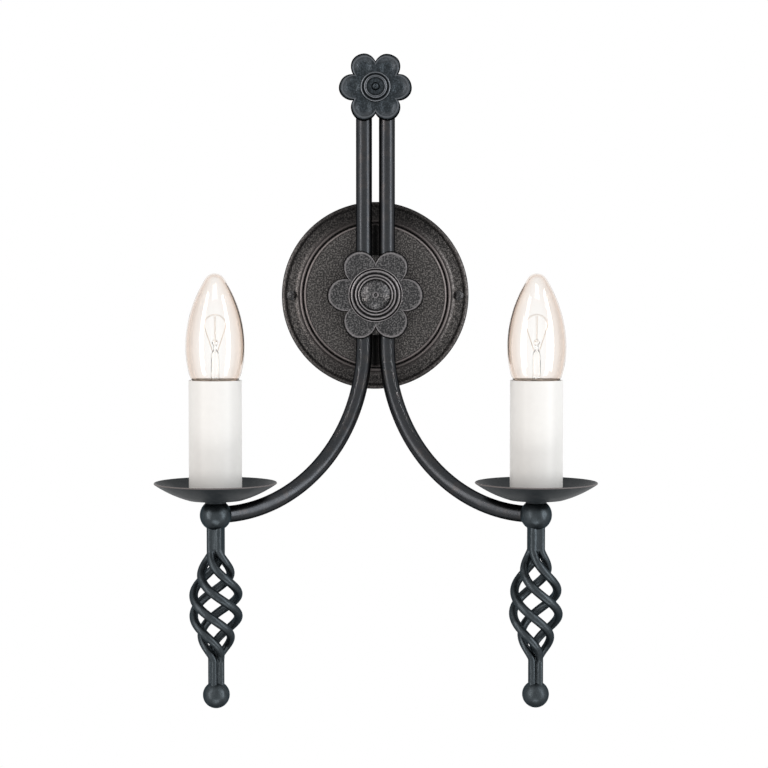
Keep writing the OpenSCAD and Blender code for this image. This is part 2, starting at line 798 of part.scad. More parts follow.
module hub_ball(side) {
    color(iron) candle_frame(side) difference() {
        sphere(r = ball_r);
        // flat under the collar, and the thread for the nipple
        translate([0, 0, hub_flat]) cylinder(r = ball_r, h = ball_r);
        translate([0, 0, nipple_foot]) cylinder(d = nipple_d + 2 * fit, h = ball_r);
        // way for the wires, from the tube up into the nipple
        cylinder(d = nipple_bore, h = ball_r);
        rotate([0, -90, 0]) cylinder(r = bore_r, h = ball_r);
        translate([-tube_seat, 0, 0]) rotate([0, -90, 0]) cylinder(r = tube_r + fit, h = ball_r);
        // socket for the ends of the rods
        translate([0, 0, -ball_r - rod_seat]) cylinder(r = bundle_r + fit, h = ball_r);
    }
}

module pan_collar(side) {
    color(iron) candle_frame(side) translate([0, 0, hub_flat])
        ring(collar_d / 2, nipple_d / 2 + play, collar_h);
}

// Centre of the pan wall's arc, from the foot and the rim of its lower face
pan_foot = [pan_floor_r, 0];
pan_rim = [pan_d / 2, pan_depth];
pan_half = norm(pan_rim - pan_foot) / 2;
pan_lean = atan2(pan_depth, pan_rim[0] - pan_foot[0]);
pan_c = (pan_foot + pan_rim) / 2
    + sqrt(pan_curve * pan_curve - pan_half * pan_half) * [-sin(pan_lean), cos(pan_lean)];
pan_from = atan2(pan_foot[1] - pan_c[1], pan_foot[0] - pan_c[0]);
pan_to = atan2(pan_rim[1] - pan_c[1], pan_rim[0] - pan_c[0]);

module drip_pan(side) {
    color(iron) candle_frame(side) translate([0, 0, pan_z]) difference() {
        rotate_extrude() {
            polygon(concat(
                [[0, 0]],
                arc(pan_c, pan_curve, pan_from, pan_to, 12),
                arc(pan_c, pan_curve - pan_t, pan_to, pan_from, 12),
                [[pan_floor_r - pan_t, pan_t], [0, pan_t]]
            ));
            translate(pan_c + (pan_curve - pan_t / 2) * [cos(pan_to), sin(pan_to)]) circle(d = pan_t);
        }
        translate([0, 0, -over]) cylinder(r = nipple_d / 2 + play, h = pan_t + 2 * over);
    }
}

module nipple(side) {
    color(zinc) candle_frame(side) translate([0, 0, nipple_foot])
        ring(nipple_d / 2, nipple_bore / 2, nipple_top - nipple_foot);
}

module pan_nut(side) {
    color(zinc) candle_frame(side) translate([0, 0, floor_z])
        hex_nut(nut_w, nipple_d + 2 * fit, pan_nut_h);
}

// Swell of the basket: 0 at its ends, 1 at its middle
function swell(t) = pow(1 - pow(2 * t - 1, 2), swell_power);

// Radius of a rod, full at the basket's middle and drawn down towards its ends
function rod_radius(t) = rod_r + ((t < 0.5 ? rod_top_r : rod_end_r) - rod_r) * pow(2 * t - 1, 2);

function basket_point(t, phase, turn) =
    let (
        r0 = rod_radius(t) * bundle,
        r = r0 + (basket_d / 2 - rod_radius(t) - r0) * swell(t),
        a = phase + turn * t
    )
    [r * cos(a), r * sin(a), basket_top - basket_h * t];

module basket_rods(side) {
    steps = [for (i = [0 : basket_rings]) i / basket_rings];
    turn = side > 0 ? right_turn : left_turn;
    color(iron) translate([side * candle_x, -candle_y, -arm_drop])
        for (k = [0 : rod_count - 1]) {
            phase = waist_phase - turn / 2 + 360 * k / rod_count;
            first = basket_point(0, phase, turn);
            final = basket_point(1, phase, turn);
            swept(
                concat(
                    [[first[0], first[1], -rod_seat]],
                    [for (t = steps) basket_point(t, phase, turn)],
                    [[final[0], final[1], rod_low]]
                ),
                concat([rod_top_r], [for (t = steps) rod_radius(t)], [rod_end_r]),
                [cos(phase), sin(phase), 0],
                rod_sides
            );
        }
}

module finial_ball(side) {
    color(iron) candle_frame(side) translate([0, 0, finial_z]) difference() {
        sphere(r = finial_r);
        translate([0, 0, finial_seat]) cylinder(r = low_bundle_r + fit, h = finial_r);
    }
}

module holder_base(side) {
    color(bakelite) candle_frame(side) translate([0, 0, holder_z]) difference() {
        union() {
            cylinder(r = body_r - base_step, h = holder_base_len);
            cylinder(r = body_bore_r - fit, h = holder_base_len + spigot_h);
        }
        translate([0, 0, -over]) cylinder(d = nipple_d + 2 * fit, h = holder_base_len);
        translate([0, 0, base_floor_t]) cylinder(r = body_bore_r - spigot_t, h = holder_base_len + spigot_h);
    }
}

module holder_body(side) {
    color(bakelite) candle_frame(side) difference() {
        translate([0, 0, body_z]) cylinder(r = body_r, h = holder_top - body_z);
        translate([0, 0, body_z - over]) cylinder(r = body_bore_r, h = shelf_z - shelf_t - body_z + over);
        translate([0, 0, shelf_z]) cylinder(r = shell_r + fit, h = holder_top);
        translate([0, 0, body_z]) cylinder(r = strip_w / 2 + fit, h = holder_top);
        translate([0, -tab_n, shelf_z - shelf_t / 2])
            cube([strip_w + 2 * fit, strip_t + 2 * fit, shelf_t + 2 * over], center = true);
    }
}

// Brass shell for the bulb's cap, with the tab that reaches down to the neutral terminal
module screw_shell(side) {
    color(brass) candle_frame(side) {
        translate([0, 0, shelf_z]) ring(shell_r, shell_in_r, shell_h);
        translate([0, 0, shelf_z - shelf_t - strip_t]) intersection() {
            translate([-strip_w / 2, -tab_n - strip_t / 2, 0]) {
                cube([strip_w, strip_t, shelf_t + strip_t + over]);
                cube([strip_w, tab_n - terminal_n + terminal_w / 2, strip_t - fit]);
            }
            cylinder(r = shell_r, h = shell_h);
        }
    }
}

// Flanged rivet under the bulb's tip, with the strip that reaches the live terminal
module centre_contact(side) {
    color(brass) candle_frame(side) {
        translate([0, 0, shelf_z]) cylinder(r = flange_r, h = flange_h);
        translate([0, 0, shelf_z - shelf_t - strip_t])
            cylinder(r = strip_w / 2, h = shelf_t + strip_t + flange_h / 2);
        translate([-strip_w / 2, 0, shelf_z - shelf_t - strip_t])
            cube([strip_w, terminal_n + terminal_w / 2, strip_t - fit]);
    }
}

module holder_terminals(side) {
    color(brass) candle_frame(side) for (s = [-1, 1])
        translate([0, s * terminal_n, terminal_z]) {
            difference() {
                translate([-terminal_w / 2, -terminal_w / 2, 0]) cube([terminal_w, terminal_w, terminal_h]);
                translate([0, 0, -over]) cylinder(r = wire_r + play, h = lead_in + over);
                translate([0, 0, lead_in / 2]) rotate([0, 90, 0])
                    cylinder(d = terminal_screw_d, h = terminal_w);
            }
            // clamp screw
            translate([wire_r + 2 * fit, 0, lead_in / 2]) rotate([0, 90, 0])
                cylinder(d = terminal_screw_d - 2 * fit, h = terminal_screw_len);
        }
}

// The bend by which a wire enters a bar from behind and turns down inside it
function entry_bend(side, n, bend, z) =
    let (p = arm_point(side, 0, n, 0))
    [for (a = [90 : 22.5 : 180]) p + [0, bend * (1 + cos(a)), z - bend + bend * sin(a)]];

// The rest of the way: bar, arm, ball, nipple and lampholder
function arm_way(side, n) = concat(
    [for (i = [0 : 8]) let (a = 90 * i / 8)
        arm_point(side, arm_r * (1 - cos(a)), n, bend_z - arm_r * sin(a))],
    [for (a = [0 : 22.5 : 90])
        arm_point(side, arm_reach - ball_bend * (1 - sin(a)), n, ball_bend * (1 - cos(a)) - arm_drop)],
    [for (i = [0 : 5]) let (t = i / 5)
        arm_point(
            side, arm_reach, n + (sign(n) * terminal_n - n) * smooth(t),
            nipple_top + spread_gap + (terminal_z - nipple_top - 2 * spread_gap) * t - arm_drop
        )],
    [arm_point(side, arm_reach, sign(n) * terminal_n, terminal_z + lead_in - bare_gap - arm_drop)]
);

// One wire: down from its barrel at x, by its route to the bar, then through the arm
module wire(side, n, x, route, bend, z, tint) {
    p = arm_point(side, 0, n, 0);
    path = concat(
        cut_corners(concat(wire_down(x), route, [[p[0], -carrier_back, z]])),
        entry_bend(side, n, bend, z),
        arm_way(side, n)
    );
    color(tint) swept(path, [for (q = path) wire_r], [1, 0, 0], wire_sides);
}

// Where two wires share a barrel they lie side by side in its bore
wire_pair = wire_r + fit;
wire_start = block_z - barrel_len / 2 + lead_in;
wire_exit = block_z - block_h / 2 - wire_drop;
live_x = -pole_gap;
neutral_x = pole_gap;

// The straight start of a wire in its barrel
function wire_down(x) = [[x, block_y, wire_start], [x, block_y, wire_exit]];

module left_wires() {
    wire(LEFT, -wire_n, live_x - wire_pair, left_live_route, back_bend, back_entry_z, "saddlebrown");
    wire(LEFT, wire_n, neutral_x - wire_pair, left_neutral_route, front_bend, front_entry_z, "royalblue");
}

module right_wires() {
    wire(RIGHT, wire_n, live_x + wire_pair, right_live_route, back_bend, back_entry_z, "saddlebrown");
    wire(RIGHT, -wire_n, neutral_x + wire_pair, right_neutral_route, front_bend, front_entry_z, "royalblue");
}

// Earth wire from the block's middle barrel to the ring lug under the bracket's screw
module earth_wire() {
    crimp_y = -bracket_t - crimp_r - fit;
    path = cut_corners(cut_corners(concat(
        wire_down(0),
        [for (q = earth_route) [q[0], crimp_y + q[1], q[2]]],
        [[earth_x, crimp_y, crimp_z + bare_gap]]
    )));
    color("olivedrab") swept(path, [for (q = path) wire_r], [1, 0, 0], wire_sides);
    color(zinc) translate([earth_x, 0, 0]) {
        out_of_wall(bracket_t) difference() {
            union() {
                cylinder(r = lug_r, h = lug_t);
                translate([-crimp_r, 0, 0]) cube([2 * crimp_r, crimp_z + crimp_len, lug_t]);
            }
            translate([0, 0, -over]) cylinder(d = screw_d + 2 * fit, h = lug_t + 2 * over);
            translate([0, crimp_z, crimp_r + fit]) rotate([-90, 0, 0])
                cylinder(r = wire_r + fit, h = crimp_len + over);
        }
        translate([0, crimp_y, crimp_z]) ring(crimp_r, wire_r + fit, crimp_len);
    }
}

module candle_sleeve(side) {
    color(ivory) candle_frame(side) translate([0, 0, floor_z])
        ring(sleeve_d / 2, sleeve_d / 2 - sleeve_t, sleeve_len);
}

// Outline of the bulb's glass, inset by t, from the tip down to the neck
function glass_line(t) = concat(
    arc([0, tip_z], bulb_tip_r - t, 90, tip_angle, 6),
    tail(arc([bulb_r - bulb_side_r, wide_z], bulb_side_r - t, tip_angle, 0, 14)),
    tail(arc([bulb_r - low_r, wide_z], low_r - t, 0, -low_sweep, 5)),
    tail(arc(shoulder_c, shoulder_r - t, -low_sweep, -shoulder_to, 6)),
    tail(arc(neck_c, neck_fillet + t, 180 - shoulder_to, 180, 6)),
    [[neck_r - t, cap_top - neck_in_cap]]
);

module bulb_glass(side) {
    outer = glass_line(0);
    inner = glass_line(glass_t);
    color(clear_glass) candle_frame(side) rotate_extrude()
        polygon(concat(outer, [for (i = [len(inner) - 1 : -1 : 0]) inner[i]]));
}

module bulb_cap(side) {
    color(brass) candle_frame(side) {
        translate([0, 0, cap_z]) ring(cap_d / 2, neck_r + fit, cap_h);
        translate([0, 0, tip_contact_z]) cylinder(r = contact_r, h = contact_h);
    }
}

module bulb_insulator(side) {
    color(bakelite) candle_frame(side) translate([0, 0, cap_z - insulator_h])
        cylinder(r1 = insulator_low_r, r2 = cap_d / 2 - insulator_in, h = insulator_h);
}

// Glass mount inside the bulb: flare, stem and button
stem_foot = cap_top - neck_in_cap;
stem_drop = 4;          // from the widest ring down to the stem's rounded top
stem_top_z = wide_z - stem_drop;
stem_r = 2.6;
flare_h = 9;
pillar_r = 1.2;
pillar_h = 7;
button_z = stem_top_z + pillar_h;
button_r = 1.9;
support_reach = 4.6;
support_rise = 5.6;
lead_r = 0.35;
lead_gap = 1.6;
filament_rise = 13;
filament_z = wide_z + filament_rise;
filament_half = 6.5;
coil_r = 0.55;

module bulb_stem(side) {
    color(clear_glass) candle_frame(side) {
        translate([0, 0, stem_foot]) cylinder(r1 = neck_r - glass_t - fit, r2 = stem_r, h = flare_h);
        translate([0, 0, stem_foot + flare_h]) cylinder(r = stem_r, h = stem_top_z - stem_foot - flare_h);
        translate([0, 0, stem_top_z]) sphere(r = stem_r);
        translate([0, 0, stem_top_z]) cylinder(r = pillar_r, h = button_z - stem_top_z);
        translate([0, 0, button_z]) sphere(r = button_r);
    }
}

// A thin straight wire between two points
module lead(a, b) {
    v = b - a;
    translate(a) rotate([0, acos(v[2] / norm(v)), atan2(v[1], v[0])])
        cylinder(r = lead_r, h = norm(v), $fn = 16);
}

// Two leads and two supports that carry the arched filament
module bulb_filament(side) {
    foot = stem_top_z + stem_r + 2 * fit;
    color([0.55, 0.53, 0.5]) candle_frame(side) {
        for (s = [-1, 1]) {
            lead([s * lead_gap, 0, foot], [s * filament_half, 0, filament_z]);
            lead(
                [0, s * (button_r + lead_r + fit), button_z],
                [0, s * support_reach, filament_z + support_rise]
            );
        }
        translate([0, 0, filament_z]) rotate([90, 0, 0]) rotate_extrude(angle = 180, $fn = 32)
            translate([filament_half, 0]) circle(r = coil_r, $fn = 16);
    }
}

wall_bracket();
bracket_earth_screw();
terminal_block();
terminal_barrels();
terminal_clamp_screws();
terminal_block_screws();
earth_wire();
backplate();
backplate_screws();
arm_spacer();
arm_carrier();
carrier_screws();
centre_flower();
centre_boss();
centre_stud();
top_flower();
top_boss();
top_stud();
top_tie();
stud_nuts();
arm_tube(LEFT);  // left_arm_tube
hub_ball(LEFT);  // left_hub_ball
pan_collar(LEFT);  // left_pan_collar
drip_pan(LEFT);  // left_drip_pan
nipple(LEFT);  // left_nipple
pan_nut(LEFT);  // left_pan_nut
basket_rods(LEFT);  // left_basket_rods
finial_ball(LEFT);  // left_finial_ball
holder_base(LEFT);  // left_holder_base
holder_body(LEFT);  // left_holder_body
screw_shell(LEFT);  // left_screw_shell
centre_contact(LEFT);  // left_centre_contact
holder_terminals(LEFT);  // left_holder_terminals
left_wires();
candle_sleeve(LEFT);  // left_candle_sleeve
bulb_glass(LEFT);  // left_bulb_glass
bulb_cap(LEFT);  // left_bulb_cap
bulb_insulator(LEFT);  // left_bulb_insulator
bulb_stem(LEFT);  // left_bulb_stem
bulb_filament(LEFT);  // left_bulb_filament
arm_tube(RIGHT);  // right_arm_tube
hub_ball(RIGHT);  // right_hub_ball
pan_collar(RIGHT);  // right_pan_collar
drip_pan(RIGHT);  // right_drip_pan
nipple(RIGHT);  // right_nipple
pan_nut(RIGHT);  // right_pan_nut
basket_rods(RIGHT);  // right_basket_rods
finial_ball(RIGHT);  // right_finial_ball
holder_base(RIGHT);  // right_holder_base
holder_body(RIGHT);  // right_holder_body
screw_shell(RIGHT);  // right_screw_shell
centre_contact(RIGHT);  // right_centre_contact
holder_terminals(RIGHT);  // right_holder_terminals
right_wires();
candle_sleeve(RIGHT);  // right_candle_sleeve
bulb_glass(RIGHT);  // right_bulb_glass
bulb_cap(RIGHT);  // right_bulb_cap
bulb_insulator(RIGHT);  // right_bulb_insulator
bulb_stem(RIGHT);  // right_bulb_stem
bulb_filament(RIGHT);  // right_bulb_filament
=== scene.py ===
"""Looks of the two-light wall lamp: black forged arms on a round plate, twisted baskets and candle bulbs.

Origin: centre of the plate, on the wall. +X is to the right, -Y points out of the wall, +Z is up. Metres.
"""

import math

import bmesh
import bpy
from mathutils import Euler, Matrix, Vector


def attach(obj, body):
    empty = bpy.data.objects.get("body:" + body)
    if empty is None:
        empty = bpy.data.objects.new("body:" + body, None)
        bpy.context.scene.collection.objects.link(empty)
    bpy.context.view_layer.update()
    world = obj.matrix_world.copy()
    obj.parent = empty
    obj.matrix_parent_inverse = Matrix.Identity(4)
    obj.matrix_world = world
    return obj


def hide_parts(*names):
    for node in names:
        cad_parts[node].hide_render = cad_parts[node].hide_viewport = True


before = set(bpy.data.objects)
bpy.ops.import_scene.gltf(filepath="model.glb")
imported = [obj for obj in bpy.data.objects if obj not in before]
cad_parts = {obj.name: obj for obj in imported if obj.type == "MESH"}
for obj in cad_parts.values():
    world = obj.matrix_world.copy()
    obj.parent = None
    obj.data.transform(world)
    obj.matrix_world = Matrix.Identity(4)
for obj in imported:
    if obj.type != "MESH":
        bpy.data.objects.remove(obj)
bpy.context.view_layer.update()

MM = 0.001
SIDES = (("left", -1), ("right", 1))


# The wall plate: one disc of 1.2 mm steel, spun over a former into a rolled lip, a cove and a raised
# middle with a bead round it. It is blasted to a sand grain and blackened. Its raised edges and the
# cove's slope carry a painted highlight, partly wear, and painted shade lies in the cove, in its creases
# and behind the bars.
def plug(tree, node, **inputs):
    """Links or sets a node's named inputs. An underscore stands for a space."""
    for label, value in inputs.items():
        socket = node.inputs[label.replace("_", " ")]
        if isinstance(value, bpy.types.NodeSocket):
            tree.links.new(value, socket)
        else:
            socket.default_value = (*value, 1) if socket.type == "RGBA" else value
    return node


def put(tree, kind, **inputs):
    """Adds a shader node, or places a node group, and plugs its inputs."""
    node = tree.nodes.new(kind if isinstance(kind, str) else "ShaderNodeGroup")
    if not isinstance(kind, str):
        node.node_tree = kind
    return plug(tree, node, **inputs)


def maths(tree, operation, first, second):
    """Works out one number from two."""
    node = tree.nodes.new("ShaderNodeMath")
    node.operation = operation
    for socket, value in zip(node.inputs, (first, second)):
        if isinstance(value, bpy.types.NodeSocket):
            tree.links.new(value, socket)
        else:
            socket.default_value = value
    return node.outputs[0]


def mixed(tree, factor, first, second):
    """Mixes two colours."""
    node = tree.nodes.new("ShaderNodeMix")
    node.data_type = "RGBA"
    return plug(tree, node, Factor=factor, A=first, B=second).outputs["Result"]


def noise(tree, place, scale, detail=2.0, roughness=0.5):
    """Cloudy noise, from 0 to 1."""
    return put(tree, "ShaderNodeTexNoise", Vector=place, Scale=scale, Detail=detail,
               Roughness=roughness).outputs["Fac"]


def stretched(tree, value, start, end, low=0.0, high=1.0):
    """Stretches a stretch of values to reach from low to high."""
    return put(tree, "ShaderNodeMapRange", Value=value, From_Min=start, From_Max=end, To_Min=low,
               To_Max=high).outputs["Result"]


def bumped(tree, height, distance):
    """A bump of a given depth. Its output is the bent normal."""
    return put(tree, "ShaderNodeBump", Height=height, Distance=distance)


def coordinates(tree):
    """Places on the object, in metres."""
    return put(tree, "ShaderNodeTexCoord").outputs["Object"]


def mark_on_mesh(tree, label):
    """Reads a mark that the mesh carries at its points."""
    reader = tree.nodes.new("ShaderNodeAttribute")
    reader.attribute_name = label
    return reader.outputs["Fac"]


def new_group(name, takes, gives):
    """A shader node group, the sockets that bring its inputs, and the node that puts out its results."""
    group = bpy.data.node_groups.new(name, "ShaderNodeTree")
    for label, kind in takes:
        group.interface.new_socket(name=label, in_out="INPUT", socket_type=kind)
    for label, kind in gives:
        group.interface.new_socket(name=label, in_out="OUTPUT", socket_type=kind)
    return group, group.nodes.new("NodeGroupInput").outputs, group.nodes.new("NodeGroupOutput")


COLOUR, NUMBER = "NodeSocketColor", "NodeSocketFloat"

# A fine grain: a speckled colour, a roughness that drifts a little, and a height.
GRAIN, given, result = new_group(
    "sand_grain",
    [("Coat", COLOUR), ("Speck", COLOUR), ("Grain Size", NUMBER), ("Roughness", NUMBER)],
    [("Colour", COLOUR), ("Roughness", NUMBER), ("Height", NUMBER)],
)
place = coordinates(GRAIN)
sand = noise(GRAIN, place, maths(GRAIN, "DIVIDE", 1, given["Grain Size"]), roughness=0.6)
drift = stretched(GRAIN, noise(GRAIN, place, 55, 4), 0.3, 0.7, -0.06, 0.06)
plug(GRAIN, result, Colour=mixed(GRAIN, stretched(GRAIN, sand, 0.46, 0.64), given["Coat"], given["Speck"]),
     Roughness=maths(GRAIN, "ADD", given["Roughness"], drift), Height=sand)

# Marks on the mesh: edges marked lighter are partly wear and partly painted highlight, and hollows, creases
# and edges marked dark carry painted shade, black and dull.
WEAR_AND_PAINTED_LIGHT, given, result = new_group(
    "wear_highlight_and_shade",
    [("Colour", COLOUR), ("Rubbed", COLOUR), ("Roughness", NUMBER)],
    [("Colour", COLOUR), ("Roughness", NUMBER)],
)
painted_shade = mark_on_mesh(WEAR_AND_PAINTED_LIGHT, "painted_shade")
painted_shade_colour = (0.002, 0.0022, 0.0024)
painted_shade_roughness = 0.9
edge = mixed(WEAR_AND_PAINTED_LIGHT, mark_on_mesh(WEAR_AND_PAINTED_LIGHT, "wear_and_painted_light"), given["Colour"], given["Rubbed"])
dull = put(WEAR_AND_PAINTED_LIGHT, "ShaderNodeMix", Factor=painted_shade, A=given["Roughness"], B=painted_shade_roughness)
plug(WEAR_AND_PAINTED_LIGHT, result, Colour=mixed(WEAR_AND_PAINTED_LIGHT, painted_shade, edge, painted_shade_colour), Roughness=dull.outputs["Result"])


def new_finish(name):
    """A new material, with its node tree and its shader."""
    finish = bpy.data.materials.new(name)
    finish.use_nodes = True
    return finish, finish.node_tree, finish.node_tree.nodes["Principled BSDF"]


def blackened_iron(name, coat, speck, wear_highlight, grain_size, roughness, grain_depth, glancing):
    """Blackened iron with a sand grain. Glancing is its reflection where it is seen at a slant."""
    finish, tree, shader = new_finish(name)
    grain = put(tree, GRAIN, Coat=coat, Speck=speck, Grain_Size=grain_size, Roughness=roughness).outputs
    # Marked edges take the lighter colour, partly wear and partly painted highlight, and marked hollows and
    # sides painted shade.
    worn_and_lit = put(tree, WEAR_AND_PAINTED_LIGHT, Colour=grain["Colour"], Rubbed=wear_highlight, Roughness=grain["Roughness"]).outputs
    plug(tree, shader, Metallic=1, Specular_Tint=glancing,
         Base_Color=worn_and_lit["Colour"], Roughness=worn_and_lit["Roughness"],
         Normal=bumped(tree, grain["Height"], grain_depth).outputs["Normal"])
    return finish


sand_black = blackened_iron(
    "sand_black", (0.037, 0.0356, 0.035), (0.16, 0.15, 0.144), (0.19, 0.168, 0.164),
    0.95 * MM, 0.4, 0.2 * MM, (0.4, 0.4, 0.4),
)


def arc(centre, radius, start, end, steps=10):
    """Points on an arc, in the plane of the outline."""
    points = []
    for i in range(steps + 1):
        turn = math.radians(start + (end - start) * i / steps)
        points.append((centre[0] + radius * math.cos(turn), centre[1] + radius * math.sin(turn)))
    return points


def out_of_wall(height=0.0, centre=(0, 0)):
    """Lays a piece flat on the wall: its own Z points at the room."""
    return lambda x, y, z: (centre[0] + x, -height - z, centre[1] + y)


def standing(x0, y0, z0):
    """Stands a piece upright at a place."""
    return lambda x, y, z: (x0 + x, y0 + y, z0 + z)


def make(name, points, faces, finish, wear_and_painted_light=None, crease=34):
    """One mesh piece, smooth but for its creases. Points marked above 0 are lighter, partly wear and partly
    painted highlight; points marked below 0 carry painted shade.
    """
    mesh = bpy.data.meshes.new(name)
    mesh.from_pydata(points, [], faces)
    shape = bmesh.new()
    shape.from_mesh(mesh)
    bmesh.ops.recalc_face_normals(shape, faces=shape.faces)
    shape.to_mesh(mesh)
    shape.free()
    mesh.shade_smooth()
    mesh.set_sharp_from_angle(angle=math.radians(crease))
    for mark, sign in (("wear_and_painted_light", 1), ("painted_shade", -1)):
        marks = mesh.attributes.new(mark, "FLOAT", "POINT")
        for i, value in enumerate(wear_and_painted_light or []):
            marks.data[i].value = max(0, sign * value)
    mesh.materials.append(finish)
    piece = bpy.data.objects.new(name, mesh)
    bpy.context.collection.objects.link(piece)
    return piece


def turned(name, outline, lay, finish, turns=144, ring=False, crease=34):
    """Turns an outline of (radius, height) or (radius, height, mark) round its axis. A mark above 0 is
    lighter, partly wear and partly painted highlight; below 0 it is painted shade.
    """
    points, wear_and_painted_light, rings = [], [], []
    on_axis = 1e-7
    for spot in outline:
        mark = spot[2] if len(spot) > 2 else 0
        count = 1 if spot[0] < on_axis else turns
        rings.append([len(points) + j for j in range(count)])
        for j in range(count):
            turn = 2 * math.pi * j / turns
            points.append(lay(spot[0] * math.cos(turn), spot[0] * math.sin(turn), spot[1]))
            wear_and_painted_light.append(mark)
    faces = []
    for low, high in zip(rings, rings[1:] + rings[:1] if ring else rings[1:]):
        for j in range(turns):
            k = (j + 1) % turns
            corners = [low[j % len(low)], low[k % len(low)], high[k % len(high)], high[j % len(high)]]
            face = list(dict.fromkeys(corners))
            if len(face) > 2:
                faces.append(face)
    return make(name, points, faces, finish, wear_and_painted_light, crease)


def settle(piece, step):
    """Applies a modifier."""
    with bpy.context.temp_override(object=piece, active_object=piece, selected_objects=[piece]):
        bpy.ops.object.modifier_apply(modifier=step.name)


def carve(piece, tool, how="DIFFERENCE"):
    """Cuts, joins or trims a piece with a second one, which is then thrown away."""
    step = piece.modifiers.new("carve", "BOOLEAN")
    step.operation = how
    step.object = tool
    step.solver = "EXACT"
    settle(piece, step)
    bpy.data.objects.remove(tool)


def slab(name, outline, lay, thick, finish):
    """A flat plate cut to an outline."""
    count = len(outline)
    points = [lay(x, y, 0) for x, y in outline] + [lay(x, y, thick) for x, y in outline]
    faces = [list(range(count)), list(range(count, 2 * count))]
    faces += [[j, (j + 1) % count, count + (j + 1) % count, count + j] for j in range(count)]
    return make(name, points, faces, finish, crease=20)


def long_round(width, height):
    """Outline of a plate with two half-round ends, above and below."""
    reach = (height - width) / 2
    return arc((0, reach), width / 2, 0, 180, 24) + arc((0, -reach), width / 2, 180, 360, 24)


plate_r = 60 * MM
plate_h = 17 * MM
sheet = 1.2 * MM
middle_r = 43 * MM
lip_r = 1.5 * MM
lip_h = 4.6 * MM
ring_h = 3.6 * MM
ring_edge = plate_r - 4 * MM
ring_flat = 3.8 * MM
lip_fillet = 1.5 * MM
cove_foot = ring_edge - ring_flat
cove_top = 5.2 * MM
cove_sweep = 78
cove_r = (cove_foot - middle_r - cove_top) / math.sin(math.radians(cove_sweep))
cove_c = (cove_foot, ring_h + cove_r)
groove = (middle_r + 2.7 * MM, plate_h - 2 * MM)
bead_r = 1 * MM
shoulder_c = (middle_r + 4.1 * MM, plate_h - 1.8 * MM)
bead_c = (middle_r + 1.3 * MM, plate_h - 0.7 * MM)


def marked(points, strength):
    """Marks a stretch of outline lighter, most at its middle: partly wear, partly painted highlight."""
    last = len(points) - 1
    return [(*p, strength * math.sin(math.pi * i / last)) for i, p in enumerate(points)]


def shaded(points, first, last):
    """Marks a stretch of outline with a strength that changes evenly along it."""
    return [(*p, first + (last - first) * i / (len(points) - 1)) for i, p in enumerate(points)]


lip_c = (plate_r - lip_r, lip_h - lip_r)
# The lip, shoulder and bead tops carry a painted highlight, partly wear, and the cove one that grows up its
# slope. The lip's outer side, the cove's foot and the groove carry painted shade.
plate_front = (
    [(plate_r, 0.2 * MM, -0.7)]
    + shaded(arc(lip_c, lip_r, 0, 45, 6), -0.9, -0.5)
    + marked(arc(lip_c, lip_r, 50, 140, 12), 0.2)
    + shaded(arc((ring_edge, ring_h + lip_fillet), lip_fillet, 305, 270, 8), -0.6, -0.1)
    + shaded(arc(cove_c, cove_r, 270, 270 - cove_sweep, 28), 0, 0.4)
    + marked(arc(shoulder_c, bead_r, 12, 150, 14), 0.8)
    + [(*groove, -0.2)]
    + marked(arc(bead_c, bead_r, -50, 135, 18), 0.8)
)
plate_back = (
    [(middle_r + 0.5 * MM, plate_h - sheet), (middle_r + 2 * MM, plate_h - 3 * MM),
     (middle_r + 3.9 * MM, plate_h - 3 * MM)]
    + arc(cove_c, cove_r + sheet, 270 - cove_sweep, 270, 28)
    + [(plate_r - sheet, ring_h - sheet), (plate_r - sheet, 0)]
)
flat_rings = 24
backplate = turned(
    "wall_plate",
    [(0, plate_h - sheet)] + plate_back + [(plate_r - 0.2 * MM, 0)] + plate_front
    + [(middle_r * i / flat_rings, plate_h) for i in range(flat_rings, -1, -1)],
    out_of_wall(), sand_black, turns=192,
)


def cylinder(name, radius, low, high, lay, turns=64):
    """A plain cylinder that another piece is cut or filled with."""
    return turned(name, [(0, low), (radius, low), (radius, high), (0, high)], lay, sand_black, turns)


# Each screw sits in a small cup that is pressed into the cove.
screw_x = plate_r - 6.4 * MM
screw_head = 3.1 * MM
screw_seat = ring_h - 0.4 * MM
screw_hole = 2.2 * MM
cup_r = 4.6 * MM
cup_top = 5.4 * MM
clear_of_plate = 12 * MM
for side, sign in SIDES:
    cup = cylinder("cup", cup_r, ring_h - sheet, cup_top, out_of_wall(0, (sign * screw_x, 0)))
    body = turned("body", [(0, 0)] + [(plate_r, 0)] + plate_front + [(middle_r, plate_h), (0, plate_h)],
                  out_of_wall(), sand_black, turns=192)
    carve(cup, body, "INTERSECT")
    carve(backplate, cup, "UNION")
for side, sign in SIDES:
    for radius, low in ((screw_head + 0.3 * MM, screw_seat), (screw_hole, 0)):
        carve(backplate, cylinder("hole", radius, low, clear_of_plate, out_of_wall(0, (sign * screw_x, 0))))

# The wires come through a slot that is longer across than up.
wire_way = [(y, x) for x, y in long_round(16 * MM, 20.4 * MM)]
carve(backplate, slab("way", wire_way, out_of_wall(14 * MM), 5 * MM, sand_black))
backplate.data.set_sharp_from_angle(angle=math.radians(34))

